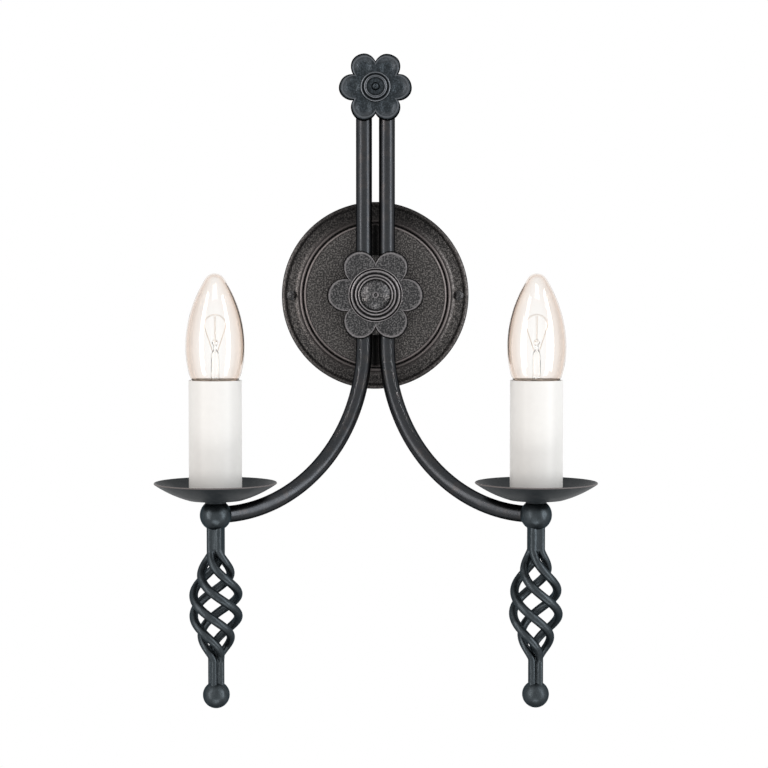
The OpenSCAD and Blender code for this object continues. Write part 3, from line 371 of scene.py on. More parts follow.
# Painted shade lies thickest behind the bars and at the top of the cove, and a little at its bottom.
behind_bars = 4.5 * MM
bar_shade = 0.95
top_shade = 0.72
low_shade = 0.4
shade_marks = backplate.data.attributes["painted_shade"].data
for i, spot in enumerate(backplate.data.vertices):
    far = math.hypot(spot.co.x, spot.co.z)
    if far > middle_r + 2 * MM:
        rise = spot.co.z / far
        shade_marks[i].value = max(shade_marks[i].value, rise * rise * (top_shade if rise > 0 else low_shade))
    elif abs(spot.co.x) < behind_bars and spot.co.y < 0.1 * MM - plate_h:
        shade_marks[i].value = bar_shade * (1 - (spot.co.x / behind_bars) ** 2)
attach(backplate, "root")
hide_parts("backplate")


# The plate's two screws: pan heads with a cross recess, blackened like the flowers. They pull the plate
# on to the tapped ends of the bracket behind it.
petal_black = blackened_iron(
    "petal_black", (0.034, 0.0342, 0.0355), (0.14, 0.137, 0.138), (0.25, 0.235, 0.24),
    0.95 * MM, 0.38, 0.2 * MM, (0.3, 0.3, 0.3),
)


def dome_head(radius, height, crown, edge):
    """Outline of a low domed head, from its centre out and down."""
    ball = (radius * radius + crown * crown) / (2 * crown)
    half = math.degrees(math.asin((radius - edge) / ball))
    top = arc((0, height - ball), ball, 90, 90 - half, 12)
    return top + arc((radius - edge, top[-1][1] - edge), edge, 80, 0, 5) + [(radius, 0), (0, 0)]


screws = []
shank_r = 1.95 * MM
cross_long, cross_wide, cross_floor = 1.6 * MM, 0.4 * MM, 1.4 * MM
for side, sign in SIDES:
    at = (sign * screw_x, 0)
    screw = turned(f"{side}_plate_screw", dome_head(screw_head, 2.4 * MM, 1.3 * MM, 0.3 * MM),
                   out_of_wall(screw_seat, at), petal_black, turns=64)
    for x, y in ((cross_long, cross_wide), (cross_wide, cross_long)):
        cross = [(-x, -y), (x, -y), (x, y), (-x, y)]
        carve(screw, slab("cross", cross, out_of_wall(screw_seat + cross_floor, at), 2 * MM, petal_black))
    shank = turned(f"{side}_plate_screw_shank",
                   [(0, 0.2 * MM), (shank_r, 0.2 * MM), (shank_r, screw_seat), (0, screw_seat)],
                   out_of_wall(0, at), petal_black, turns=48)
    screws += [screw, shank]
for piece in screws:
    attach(piece, "root")
    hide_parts("backplate_screws")


# The spacer and the carrier plate: two cut steel blanks with rounded ends, bolted to the middle of the
# wall plate. The carrier holds both bars in shallow grooves and shows below the middle flower.
def soften(piece, width, steps=3):
    """Rounds the sharp edges, as forging or linishing leaves them."""
    round_off = piece.modifiers.new("soften", "BEVEL")
    round_off.width = width
    round_off.segments = steps
    round_off.limit_method = "ANGLE"
    round_off.angle_limit = math.radians(40)
    settle(piece, round_off)


bar_y = 33.6 * MM
bar_x = 7.15 * MM
tube_r = 5 * MM
fit = 0.05 * MM
bar_back = bar_y - tube_r - fit
carrier_t = 4 * MM
carrier_front = bar_back + 0.65 * MM
carrier_back = carrier_front - carrier_t
block_outline = long_round(26 * MM, 50 * MM)
spacer = slab("arm_spacer_block", block_outline, out_of_wall(plate_h), carrier_back - plate_h, sand_black)
way = slab("way", wire_way, out_of_wall(plate_h - MM), 12 * MM, sand_black)
carve(spacer, way)
carrier = slab("arm_carrier_plate", block_outline, out_of_wall(carrier_back), carrier_t, sand_black)
saddle_h = 40 * MM
for side, sign in SIDES:
    carve(carrier, cylinder("saddle", tube_r + fit, -saddle_h, saddle_h,
                            standing(sign * bar_x, -bar_y, 0), 96))
    slot = [(sign * bar_x + x, y - 0.25 * MM) for x, y in long_round(5 * MM, 6.4 * MM)]
    carve(carrier, slab("slot", slot, out_of_wall(carrier_back - MM), 6 * MM, sand_black))
for piece, node in ((spacer, "arm_spacer"), (carrier, "arm_carrier")):
    soften(piece, 0.45 * MM)
    piece.data.set_sharp_from_angle(angle=math.radians(34))
    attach(piece, "root")
    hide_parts(node)


# The flowers: six round petals cut from plate and forged over a swage. The middle one is flat and has
# the sand grain. The smaller top one is smoother, and its petals are hollowed. Both have rolled edges,
# with a painted highlight where they turn, partly wear, and painted shade at the sides.
def reach_of(turn, disc, out, petal):
    """Distance from a flower's centre to its edge in one direction."""
    best = disc
    for k in range(6):
        apart = turn - k * math.pi / 3
        across = out * math.sin(apart)
        if abs(across) < petal and math.cos(apart) > 0:
            best = max(best, out * math.cos(apart) + math.sqrt(petal * petal - across * across))
    return best


def petal_depth(x, y, out, petal):
    """How far inside its nearest petal a point lies: 1 at the petal's middle, 0 at its edge."""
    deep = 0
    for k in range(6):
        px, py = out * math.cos(k * math.pi / 3), out * math.sin(k * math.pi / 3)
        deep = max(deep, 1 - math.hypot(x - px, y - py) / petal)
    return deep


def eased(t):
    """Runs from 0 to 1 with a soft start and end."""
    t = min(1, max(0, t))
    return t * t * (3 - 2 * t)


# The rolled rim carries a painted highlight along its top, partly wear, which turns to painted shade down its
# side.
rim_wear_highlight, rim_w = 0.8, 0.9 * MM
roll_shade, side_shade = 2.4, -0.9


def rosette(name, lay, disc, out, petal, thick, edge, hollow, uneven, glint, finish):
    """A flower on a fan of spokes: flat back, rolled edge filed by hand, and petals hollowed in front."""
    spokes, inner, outer = 480, 52, 6
    points, wear_and_painted_light, rings = [lay(0, 0, thick)], [0.0], []
    edges = [2 * math.pi * j / spokes for j in range(spokes)]
    reach = [reach_of(turn, disc, out, petal)
             - uneven * (0.5 + 0.3 * math.sin(5 * turn + 1.1) + 0.2 * math.sin(13 * turn)) for turn in edges]
    for i in range(1, inner + 1):
        ring = []
        for turn, far in zip(edges, reach):
            r = (far - edge) * i / inner
            x, y = r * math.cos(turn), r * math.sin(turn)
            deep = petal_depth(x, y, out, petal) - edge / petal
            z = thick - hollow * eased(deep / 0.6)
            ring.append(len(points))
            points.append(lay(x, y, z))
            rim = rim_wear_highlight * max(0, 1 - (far - edge - r) / rim_w)
            # A painted highlight: a lighter crescent where the outer side of a hollow turns up.
            curve = eased(deep / 0.12) * (1 - eased((deep - 0.2) / 0.3)) * eased((r / out - 0.95) / 0.25)
            wear_and_painted_light.append(max(rim, glint * curve))
        rings.append(ring)
    for i in range(1, outer + 1):
        ring = []
        roll = math.pi / 2 * i / outer
        for turn, far in zip(edges, reach):
            r = far - edge + edge * math.sin(roll)
            ring.append(len(points))
            points.append(lay(r * math.cos(turn), r * math.sin(turn), thick - edge + edge * math.cos(roll)))
            wear_and_painted_light.append(rim_wear_highlight - roll_shade * math.sin(roll))
        rings.append(ring)
    ring = []
    for turn, far in zip(edges, reach):
        ring.append(len(points))
        points.append(lay(far * math.cos(turn), far * math.sin(turn), 0))
        wear_and_painted_light.append(side_shade)
    rings.append(ring)
    back = len(points)
    points.append(lay(0, 0, 0))
    wear_and_painted_light.append(0.0)
    faces = [[0, rings[0][j], rings[0][(j + 1) % spokes]] for j in range(spokes)]
    for low, high in zip(rings, rings[1:]):
        faces += [[low[j], low[(j + 1) % spokes], high[(j + 1) % spokes], high[j]] for j in range(spokes)]
    faces += [[rings[-1][j], rings[-1][(j + 1) % spokes], back] for j in range(spokes)]
    return make(name, points, faces, finish, wear_and_painted_light, crease=50)


satin_black = blackened_iron(
    "satin_black", (0.025, 0.0295, 0.033), (0.052, 0.062, 0.071), (0.14, 0.148, 0.16),
    1.0 * MM, 0.34, 0.12 * MM, (0.3, 0.3, 0.3),
)
flower_back = bar_y + tube_r + fit
flower_t = 2.5 * MM
top_flower_z = 128.6 * MM
top_flower_t = 3 * MM
centre_flower = rosette("centre_flower_plate", out_of_wall(flower_back), 19 * MM, 19.9 * MM, 10.4 * MM,
                        flower_t, 1.5 * MM, 0.25 * MM, 0.5 * MM, 0.0, petal_black)
top_flower = rosette("top_flower_plate", out_of_wall(flower_back, (0, top_flower_z)), 15 * MM, 14.6 * MM,
                     8.2 * MM, top_flower_t, 2.1 * MM, 1.2 * MM, 0.4 * MM, 0.22, satin_black)
for piece, node in ((centre_flower, "centre_flower"), (top_flower, "top_flower")):
    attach(piece, "root")
    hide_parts(node)


# The bosses: turned steel buttons with beaded steps, screwed on the studs that clamp the flowers and
# bars together. The middle one rises to a shallow dome with a centre dimple.
def beads(radius, steps):
    """Outline of beaded steps, (inset, height, bead radius) each, from the foot in. Bead tops carry a painted
    highlight, partly wear, and their feet painted shade.
    """
    outline = [(radius, 0)]
    for inset, height, bead in steps:
        curve = arc((radius - inset, height), bead, -10, 150, 12)
        outline += [(*p, 1.6 * math.sin(math.pi * i / 12) ** 3 - 0.7) for i, p in enumerate(curve)]
    return outline


boss_r = 16.9 * MM
boss_steps = [(0.5 * MM, 0.5 * MM, 0.5 * MM), (2.4 * MM, 1.5 * MM, 1.1 * MM),
              (4.9 * MM, 2.7 * MM, 0.9 * MM), (6.7 * MM, 3.6 * MM, 0.7 * MM)]
dome_h = 6.6 * MM
dome_r = 15.6 * MM
pip_r = 1.6 * MM
pip_edge = 0.5 * MM
dome_foot = math.degrees(math.asin((boss_r - 7.6 * MM) / dome_r))
dome_end = math.degrees(math.asin((pip_r + pip_edge) / dome_r))
# The pip's rim and very middle carry a painted highlight, and the hollow between them painted shade.
centre_boss = turned(
    "centre_boss_button",
    beads(boss_r, boss_steps)
    + arc((0, dome_h - dome_r), dome_r, 90 - dome_foot, 90 - dome_end, 24)
    + marked(arc((pip_r, dome_h - pip_edge), pip_edge, 20, 170, 10), 0.6)
    + [(0.9 * MM, dome_h - 0.9 * MM, -0.4), (0, dome_h - 1.1 * MM, 0.3)],
    out_of_wall(flower_back + flower_t), petal_black, turns=160, crease=40,
)
top_boss_r = 9.4 * MM
top_steps = [(0.8 * MM, 0.8 * MM, 0.8 * MM), (2.9 * MM, 1.9 * MM, 0.8 * MM), (3.6 * MM, 2.6 * MM, 0.5 * MM)]
bump_r = 2.3 * MM
bump_h = 5.2 * MM
top_boss = turned(
    "top_boss_button",
    beads(top_boss_r, top_steps)
    + [(3.9 * MM, 2.75 * MM), (bump_r + 0.3 * MM, 2.6 * MM)]
    + arc((0, bump_h - bump_r), bump_r, 10, 72, 10)
    + arc((0, bump_h), 0.7 * MM, -12, -90, 6),
    out_of_wall(flower_back + top_flower_t, (0, top_flower_z)), satin_black, turns=120, crease=40,
)
for piece, node in ((centre_boss, "centre_boss"), (top_boss, "top_boss")):
    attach(piece, "root")
    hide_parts(node)


# The arms: two lengths of 10 mm steel tube, straight behind the flowers and drawn round a 100 mm former
# below the plate, then brazed into the balls. The blackened metal still shows the hammer.
HAMMERED, given, result = new_group(
    "hammer_marks", [("Mark Size", NUMBER)], [("Height", NUMBER), ("Wear", NUMBER)]
)
place = coordinates(HAMMERED)
dents = HAMMERED.nodes.new("ShaderNodeTexVoronoi")
dents.feature = "SMOOTH_F1"
plug(HAMMERED, dents, Smoothness=0.9, Vector=place, Scale=maths(HAMMERED, "DIVIDE", 1, given["Mark Size"]))
plug(HAMMERED, result, Height=dents.outputs["Distance"],
     Wear=stretched(HAMMERED, noise(HAMMERED, place, 140, 6, 0.7), 0.52, 0.72))


def forged_iron(name, coat, worn, roughness, mark_size, mark_depth, glancing):
    """Hammered iron, blackened and waxed, a little browner where it is worn."""
    finish, tree, shader = new_finish(name)
    marks = put(tree, HAMMERED, Mark_Size=mark_size).outputs
    grain = put(tree, GRAIN, Coat=coat, Speck=tuple(c * 1.35 for c in coat), Grain_Size=0.6 * MM,
                Roughness=roughness).outputs
    # Marked edges, such as the pan rim, take a painted highlight, partly wear, and marked hollows painted
    # shade.
    worn_and_lit = put(tree, WEAR_AND_PAINTED_LIGHT, Colour=mixed(tree, marks["Wear"], grain["Colour"], worn),
               Rubbed=(0.22, 0.195, 0.19), Roughness=grain["Roughness"]).outputs
    fine = bumped(tree, grain["Height"], 0.025 * MM)
    plug(tree, fine, Normal=bumped(tree, marks["Height"], mark_depth).outputs["Normal"])
    plug(tree, shader, Metallic=1, Specular_Tint=glancing,
         Base_Color=worn_and_lit["Colour"], Roughness=worn_and_lit["Roughness"],
         Normal=fine.outputs["Normal"])
    return finish


arm_black = forged_iron(
    "arm_black", (0.0345, 0.0365, 0.0395), (0.056, 0.052, 0.0515), 0.31, 9 * MM, 0.14 * MM, (0.2, 0.2, 0.2)
)


def frames_along(path):
    """Two directions square to a path at each of its points, carried along without spinning."""
    last = len(path) - 1
    headings = [(path[min(i + 1, last)] - path[max(i - 1, 0)]).normalized() for i in range(last + 1)]
    start = Vector((1, 0, 0)) if abs(headings[0].x) < 0.9 else Vector((0, 1, 0))
    frames = []
    for heading in headings:
        start = (start - heading * start.dot(heading)).normalized()
        frames.append((start.copy(), heading.cross(start)))
    return frames


def tube_along(name, path, radii, finish, sides=48):
    """A closed round bar swept along a path."""
    points = []
    for spot, radius, (across, up) in zip(path, radii, frames_along(path)):
        for j in range(sides):
            turn = 2 * math.pi * j / sides
            points.append(tuple(spot + (across * math.cos(turn) + up * math.sin(turn)) * radius))
    faces = []
    for i in range(len(path) - 1):
        for j in range(sides):
            a, b = i * sides + j, i * sides + (j + 1) % sides
            faces.append([a, b, b + sides, a + sides])
    faces.append(list(range(sides)))
    faces.append([(len(path) - 1) * sides + j for j in range(sides)])
    return make(name, points, faces, finish, crease=50)


arm_r = 100 * MM
arm_turn = math.radians(35)
arm_reach = 107.5 * MM
arm_drop = 131 * MM
bar_top = 139 * MM
ball_r = 9.4 * MM
tube_grip = 2.2 * MM
tube_seat = math.sqrt(ball_r ** 2 - tube_r ** 2) - tube_grip
bend_z = arm_r - arm_drop
chamfer = 0.6 * MM
straights, bends = 24, 60


def arm_place(sign, along, z):
    """A point on an arm's centre line: along is the distance out from the bar."""
    return Vector((sign * (bar_x + along * math.cos(arm_turn)), -bar_y - along * math.sin(arm_turn), z))


for side, sign in SIDES:
    path = [arm_place(sign, 0, bar_top), arm_place(sign, 0, bar_top - chamfer)]
    path += [arm_place(sign, 0, bar_top - chamfer + (bend_z - bar_top) * i / straights)
             for i in range(1, straights)]
    path += [arm_place(sign, arm_r * (1 - math.cos(a)), bend_z - arm_r * math.sin(a))
             for a in (math.pi / 2 * i / bends for i in range(bends + 1))]
    path.append(arm_place(sign, arm_reach - tube_seat, -arm_drop))
    arm = tube_along(f"{side}_arm_bar", path, [tube_r - chamfer] + [tube_r] * (len(path) - 1), arm_black)
    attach(arm, "root")
    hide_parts(f"{side}_arm_tube")


# The balls at the arms' ends: forged steel, 19 mm across, drilled for the nipple that clamps the pan,
# with the arm brazed into the side and the four basket rods into the underside.
basket_black = forged_iron(
    "basket_black", (0.0385, 0.0455, 0.05), (0.054, 0.062, 0.068), 0.4, 4 * MM, 0.32 * MM, (0.4, 0.43, 0.45)
)
hub_flat = 6.9 * MM
flat_from = math.degrees(math.asin(hub_flat / ball_r))
hub_outline = [(0, hub_flat)] + arc((0, 0), ball_r, flat_from, -90, 56)[:-1] + [(0, -ball_r)]
for side, sign in SIDES:
    ball = turned(f"{side}_hub_ball_forged", hub_outline, standing(*arm_place(sign, arm_reach, -arm_drop)),
                  basket_black, turns=96)
    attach(ball, "root")
    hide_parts(f"{side}_hub_ball")


# The drip pans: 1 mm sheet spun into a shallow dish, with the rim turned smooth, and sprayed dull black
# with their collars. Each is clamped between the collar on the ball and the nut inside the sleeve.
pan_z = hub_flat + 2.2 * MM
pan_r = 36.24 * MM
pan_depth = 9.5 * MM
pan_foot = 16.4 * MM
pan_curve = 70 * MM
pan_t = 1 * MM
half = math.hypot(pan_r - pan_foot, pan_depth) / 2
lean = math.atan2(pan_depth, pan_r - pan_foot)
rise = math.sqrt(pan_curve ** 2 - half ** 2)
pan_c = ((pan_foot + pan_r) / 2 - rise * math.sin(lean), pan_depth / 2 + rise * math.cos(lean))
pan_from = math.degrees(math.atan2(-pan_c[1], pan_foot - pan_c[0]))
pan_to = math.degrees(math.atan2(pan_depth - pan_c[1], pan_r - pan_c[0]))
rim_c = (pan_c[0] + (pan_curve - pan_t / 2) * math.cos(math.radians(pan_to)),
         pan_c[1] + (pan_curve - pan_t / 2) * math.sin(math.radians(pan_to)))
# The pan's turned rim carries a painted highlight, partly wear.
pan_outline = (
    [(0, 0), (pan_foot - 2 * MM, 0)]
    + arc(pan_c, pan_curve, pan_from, pan_to, 28)[:-1]
    + marked(arc(rim_c, pan_t / 2, pan_to, pan_to + 180, 10), 0.8)
    + arc(pan_c, pan_curve - pan_t, pan_to, pan_from, 28)[1:]
    + [(pan_foot - 3 * MM, pan_t), (0, pan_t)]
)
collar_r = 6.3 * MM
collar_edge = 0.3 * MM
pan_black = forged_iron(
    "pan_black", (0.011, 0.0135, 0.0155), (0.024, 0.025, 0.027), 0.5, 7 * MM, 0.14 * MM, (0.84, 0.94, 1.0)
)
paint = pan_black.node_tree.nodes["Principled BSDF"]
plug(pan_black.node_tree, paint, Metallic=0, Specular_IOR_Level=0.2)
for side, sign in SIDES:
    x, y, z = arm_place(sign, arm_reach, -arm_drop)
    pan = turned(f"{side}_pan_dish", pan_outline, standing(x, y, z + pan_z), pan_black, turns=160, crease=30)
    collar = turned(
        f"{side}_pan_neck",
        [(0, hub_flat), (collar_r - collar_edge, hub_flat), (collar_r, hub_flat + collar_edge),
         (collar_r, pan_z - collar_edge), (collar_r - collar_edge, pan_z), (0, pan_z)],
        standing(x, y, z), pan_black, turns=96,
    )
    for piece, node in ((pan, "drip_pan"), (collar, "pan_collar")):
        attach(piece, "root")
        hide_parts(f"{side}_{node}")


# The baskets: four round rods forge-welded together at both ends, heated, twisted about a full turn
# and opened. The lower ends are drawn thinner and set in a smaller forged ball.
rod_r = 2.65 * MM
rod_top_r = 2.4 * MM
rod_end_r = 2.15 * MM
bundle = 1.01 * math.sqrt(2)
rod_seat = math.sqrt(ball_r ** 2 - (rod_top_r * (bundle + 1)) ** 2) - 1.5 * MM
basket_top = -rod_seat - 15 * MM
basket_h = 66 * MM
basket_r = 16.5 * MM
basket_low = basket_top - basket_h
rod_low = basket_low - 16 * MM
finial_r = 8 * MM
finial_z = rod_low - math.sqrt(finial_r ** 2 - (rod_end_r * (bundle + 1)) ** 2) + 1.5 * MM
waist_phase = 230
twists = {"left": 395, "right": 350}


def rod_radius(t):
    """A rod is thickest at the basket's middle and drawn down towards both its ends."""
    end = rod_top_r if t < 0.5 else rod_end_r
    return rod_r + (end - rod_r) * (2 * t - 1) ** 2


def rod_spot(t, phase, twist):
    """A point on a rod's centre line, from t = 0 at the top of the basket to 1 at its bottom."""
    near = rod_radius(t) * bundle
    swell = max(0, 1 - (2 * t - 1) ** 2) ** 1.5
    r = near + (basket_r - rod_radius(t) - near) * swell
    turn = phase + twist * t
    return Vector((r * math.cos(turn), r * math.sin(turn), basket_top - basket_h * t))


def welded(pieces, grain):
    """Melts overlapping rods into one forged piece, with the welds filled."""
    with bpy.context.temp_override(object=pieces[0], active_object=pieces[0], selected_objects=pieces,
                                   selected_editable_objects=pieces):
        bpy.ops.object.join()
    joined = pieces[0]
    melt = joined.modifiers.new("melt", "REMESH")
    melt.mode = "VOXEL"
    melt.voxel_size = grain
    melt.use_smooth_shade = True
    even = joined.modifiers.new("even", "SMOOTH")
    even.factor = 0.5
    even.iterations = 6
    for step in (melt, even):
        settle(joined, step)
    joined.data.shade_smooth()
    return joined


# The welded bundles have a core, which runs out to a thin point inside the basket.
top_core, low_core, point = rod_top_r * 1.85, rod_end_r * 1.35, 0.6 * MM
top_weld = [(0, basket_top - 9 * MM), (point, basket_top - 8 * MM), (top_core, basket_top + 1 * MM),
            (top_core, -rod_seat), (0, -rod_seat)]
low_weld = [(0, rod_low), (low_core, rod_low), (low_core, basket_low - 1 * MM),
            (point, basket_low + 8 * MM), (0, basket_low + 9 * MM)]
weld_grain = 0.34 * MM
finial_outline = [(0, finial_r)] + arc((0, 0), finial_r, 90, -90, 48)[1:-1] + [(0, -finial_r)]
turns, ends = 96, 8
for side, sign in SIDES:
    centre = arm_place(sign, arm_reach, -arm_drop)
    twist = math.radians(twists[side])
    rods = []
    for k in range(4):
        start = math.radians(waist_phase + 90 * k) - twist / 2
        spots = [rod_spot(i / turns, start, twist) for i in range(turns + 1)]
        top = Vector((spots[0].x, spots[0].y, -rod_seat))
        low = Vector((spots[-1].x, spots[-1].y, rod_low))
        path = [top + (spots[0] - top) * i / ends for i in range(ends)] + spots
        path += [spots[-1] + (low - spots[-1]) * i / ends for i in range(1, ends + 1)]
        radii = [rod_top_r] * ends + [rod_radius(i / turns) for i in range(turns + 1)] + [rod_end_r] * ends
        rods.append(tube_along(f"{side}_rod_{k}", [centre + p for p in path], radii, basket_black, sides=24))
    for name, outline in ((f"{side}_top_core", top_weld), (f"{side}_low_core", low_weld)):
        rods.append(turned(name, outline, standing(*centre), basket_black, turns=32))
    basket = welded(rods, weld_grain)
    basket.name = f"{side}_twisted_basket"
    x, y, z = centre
    finial = turned(f"{side}_finial_forged", finial_outline, standing(x, y, z + finial_z), basket_black,
                    turns=96)
    for piece, node in ((basket, "basket_rods"), (finial, "finial_ball")):
        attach(piece, "root")
        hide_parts(f"{side}_{node}")


# The candle sleeves: extruded cream plastic tubes that stand on the pans and hide the lampholders.
# Their cut ends are lightly broken, and the surface is satin with a faint mottle.
sleeve_r = 15.7 * MM
sleeve_wall = 0.8 * MM
sleeve_foot = pan_z + pan_t
sleeve_top = sleeve_foot + 70 * MM
soft_edge = 0.25 * MM
outside = sleeve_r - soft_edge
inside = sleeve_r - sleeve_wall + soft_edge
cream, tree, shader = new_finish("cream_tube")
place = coordinates(tree)
along = put(tree, "ShaderNodeMapping", Vector=place, Scale=(2200, 2200, 60))
streaks = noise(tree, along.outputs["Vector"], 1)
plug(tree, shader, Roughness=0.42,
     Base_Color=mixed(tree, noise(tree, place, 260, 5), (0.89, 0.88, 0.85), (0.94, 0.93, 0.9)),
     Normal=bumped(tree, streaks, 0.012 * MM).outputs["Normal"])

sleeve_outline = (
    arc((outside, sleeve_foot + soft_edge), soft_edge, 270, 360, 5)
    + arc((outside, sleeve_top - soft_edge), soft_edge, 0, 90, 5)
    + arc((inside, sleeve_top - soft_edge), soft_edge, 90, 180, 5)
    + arc((inside, sleeve_foot + soft_edge), soft_edge, 180, 270, 5)
)
for side, sign in SIDES:
    sleeve = turned(f"{side}_candle_tube", sleeve_outline, standing(*arm_place(sign, arm_reach, -arm_drop)),
                    cream, turns=160, ring=True)
    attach(sleeve, f"{side}_sleeve")
    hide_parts(f"{side}_candle_sleeve")


# The bulbs: 35 mm candle bulbs of clear blown glass on a small rolled-thread cap, with a pinched glass
# stem, two leads, two supports and an arched coil of tungsten. The glass is faintly warm at its edge.
bulb_r = 17.5 * MM
wide_z = sleeve_top + 19.3 * MM
side_r = 75.4 * MM
tip_r = 6.5 * MM
low_r = 60 * MM
low_sweep = 15.5
shoulder_r = 9 * MM
shoulder_sweep = 60
cap_r = 6.95 * MM
neck_r = cap_r - 0.45 * MM
neck_len = 8 * MM
glass_t = 0.8 * MM
tip_z = wide_z + math.sqrt((side_r - tip_r) ** 2 - (side_r - bulb_r) ** 2)
tip_angle = math.degrees(math.atan2(tip_z - wide_z, side_r - bulb_r))
low_angle = math.radians(low_sweep)
shoulder_c = (bulb_r - low_r + (low_r - shoulder_r) * math.cos(low_angle),
              wide_z - (low_r - shoulder_r) * math.sin(low_angle))
to = math.radians(shoulder_sweep)
shoulder_end = (shoulder_c[0] + shoulder_r * math.cos(to), shoulder_c[1] - shoulder_r * math.sin(to))
fillet = (shoulder_end[0] - neck_r) / (1 - math.cos(to))
neck_c = (shoulder_end[0] + fillet * math.cos(to), shoulder_end[1] - fillet * math.sin(to))
cap_top = neck_c[1] - 0.1 * MM
cap_h = 21 * MM
cap_z = cap_top - cap_h


def glass_line(inset):
    """Outline of the blown glass, from the tip down to the neck."""
    return (
        arc((0, tip_z), tip_r - inset, 90, tip_angle, 14)
        + arc((bulb_r - side_r, wide_z), side_r - inset, tip_angle, 0, 40)[1:]
        + arc((bulb_r - low_r, wide_z), low_r - inset, 0, -low_sweep, 16)[1:]
        + arc(shoulder_c, shoulder_r - inset, -low_sweep, -shoulder_sweep, 14)[1:]
        + arc(neck_c, fillet + inset, 180 - shoulder_sweep, 180, 14)[1:]
        + [(neck_r - inset, cap_top - neck_len)]
    )


def clear_glass(name, rim_tint, roughness):
    """Clear glass that takes a faint tint where it is seen edge on."""
    finish, tree, shader = new_finish(name)
    slant = put(tree, "ShaderNodeLayerWeight", Blend=0.6).outputs["Facing"]
    waves = bumped(tree, noise(tree, coordinates(tree), 90, 1), 0.05 * MM)
    plug(tree, shader, Transmission_Weight=1, Roughness=roughness, IOR=1.47,
         Base_Color=mixed(tree, slant, (1, 0.995, 0.985), rim_tint), Normal=waves.outputs["Normal"])
    return finish


bulb_glass = clear_glass("bulb_glass", (0.76, 0.6, 0.49), 0.0)
stem_glass = clear_glass("stem_glass", (0.86, 0.8, 0.74), 0.08)


def metal(name, colour, shade, roughness, scratch, scale):
    """Bare or plated metal with fine rubbing marks and a slightly uneven tone."""
    finish, tree, shader = new_finish(name)
    place = coordinates(tree)
    tone = noise(tree, place, scale, 6)
    along = put(tree, "ShaderNodeMapping", Vector=place, Scale=(scale * 3, scale * 3, scale * 40))
    marks = bumped(tree, noise(tree, along.outputs["Vector"], 1), scratch)
    plug(tree, shader, Metallic=1, Base_Color=mixed(tree, tone, shade, colour),
         Roughness=stretched(tree, tone, 0, 1, roughness - 0.08, roughness + 0.12),
         Normal=marks.outputs["Normal"])
    return finish


nickel = metal("nickel_cap", (0.74, 0.72, 0.68), (0.55, 0.53, 0.49), 0.24, 0.01 * MM, 120)
tungsten = metal("tungsten_wire", (0.8, 0.7, 0.6), (0.62, 0.53, 0.45), 0.5, 0.005 * MM, 600)
thread_pitch = 2.8 * MM
thread_depth = 0.34 * MM


def threaded_cap(name, lay, finish, turns=96):
    """The bulb's cap: a plain skirt above a rolled thread that runs down to a rounded foot."""
    levels, run_out, skirt_from = 96, 8, 0.8
    points, faces = [], []
    for i in range(levels + 1):
        z = cap_z + cap_h * i / levels
        fade = min(1, i / run_out, max(0, (levels * skirt_from - i) / run_out))
        for j in range(turns):
            turn = 2 * math.pi * j / turns
            wave = 0.5 - 0.5 * math.cos(2 * math.pi * (z - cap_z) / thread_pitch - turn)
            r = cap_r - thread_depth * wave * fade
            points.append(lay(r * math.cos(turn), r * math.sin(turn), z))
    inner = len(points)
    bore = neck_r + 0.05 * MM
    for z in (cap_z + cap_h, cap_z):
        for j in range(turns):
            turn = 2 * math.pi * j / turns
            points.append(lay(bore * math.cos(turn), bore * math.sin(turn), z))
    rows = [[i * turns + j for j in range(turns)] for i in range(levels + 1)]
    rows += [[inner + j for j in range(turns)], [inner + turns + j for j in range(turns)]]
    for low, high in zip(rows, rows[1:] + rows[:1]):
        faces += [[low[j], low[(j + 1) % turns], high[(j + 1) % turns], high[j]] for j in range(turns)]
    return make(name, points, faces, finish, crease=50)


stem_foot = cap_top - neck_len
stem_top = wide_z - 4 * MM
button_z = stem_top + 7 * MM
button_r = 1.9 * MM
filament_z = wide_z + 13 * MM
filament_r = 6.5 * MM
coil_r = 0.45 * MM
lead_foot, lead_spread = 1.6 * MM, 4.9 * MM
hook_out, hook_top = 2.3 * MM, filament_z + 5.6 * MM
lead_r, hook_r, wire_r = 0.25 * MM, 0.15 * MM, 0.08 * MM
windings, coil_steps = 34, 8
tip_outline = [(0, cap_z - 3 * MM), (1.2 * MM, cap_z - 3 * MM), (2.1 * MM, cap_z - 2.7 * MM),
               (2.4 * MM, cap_z - 2.2 * MM), (2.4 * MM, cap_z - 1.8 * MM), (0, cap_z - 1.8 * MM)]
stem_outline = (
    [(0, stem_foot), (5.5 * MM, stem_foot), (5.0 * MM, stem_foot + 2 * MM), (3.9 * MM, stem_foot + 5 * MM),
     (2.9 * MM, stem_foot + 8 * MM), (2.6 * MM, stem_foot + 11 * MM), (2.5 * MM, stem_top - 3 * MM),
     (2.3 * MM, stem_top), (1.8 * MM, stem_top + 1.6 * MM), (1.15 * MM, stem_top + 2.4 * MM),
     (1.0 * MM, stem_top + 4 * MM), (1.05 * MM, button_z - button_r)]
    + arc((0, button_z), button_r, -50, 90, 10)[:-1]
    + [(0, button_z + button_r)]
)
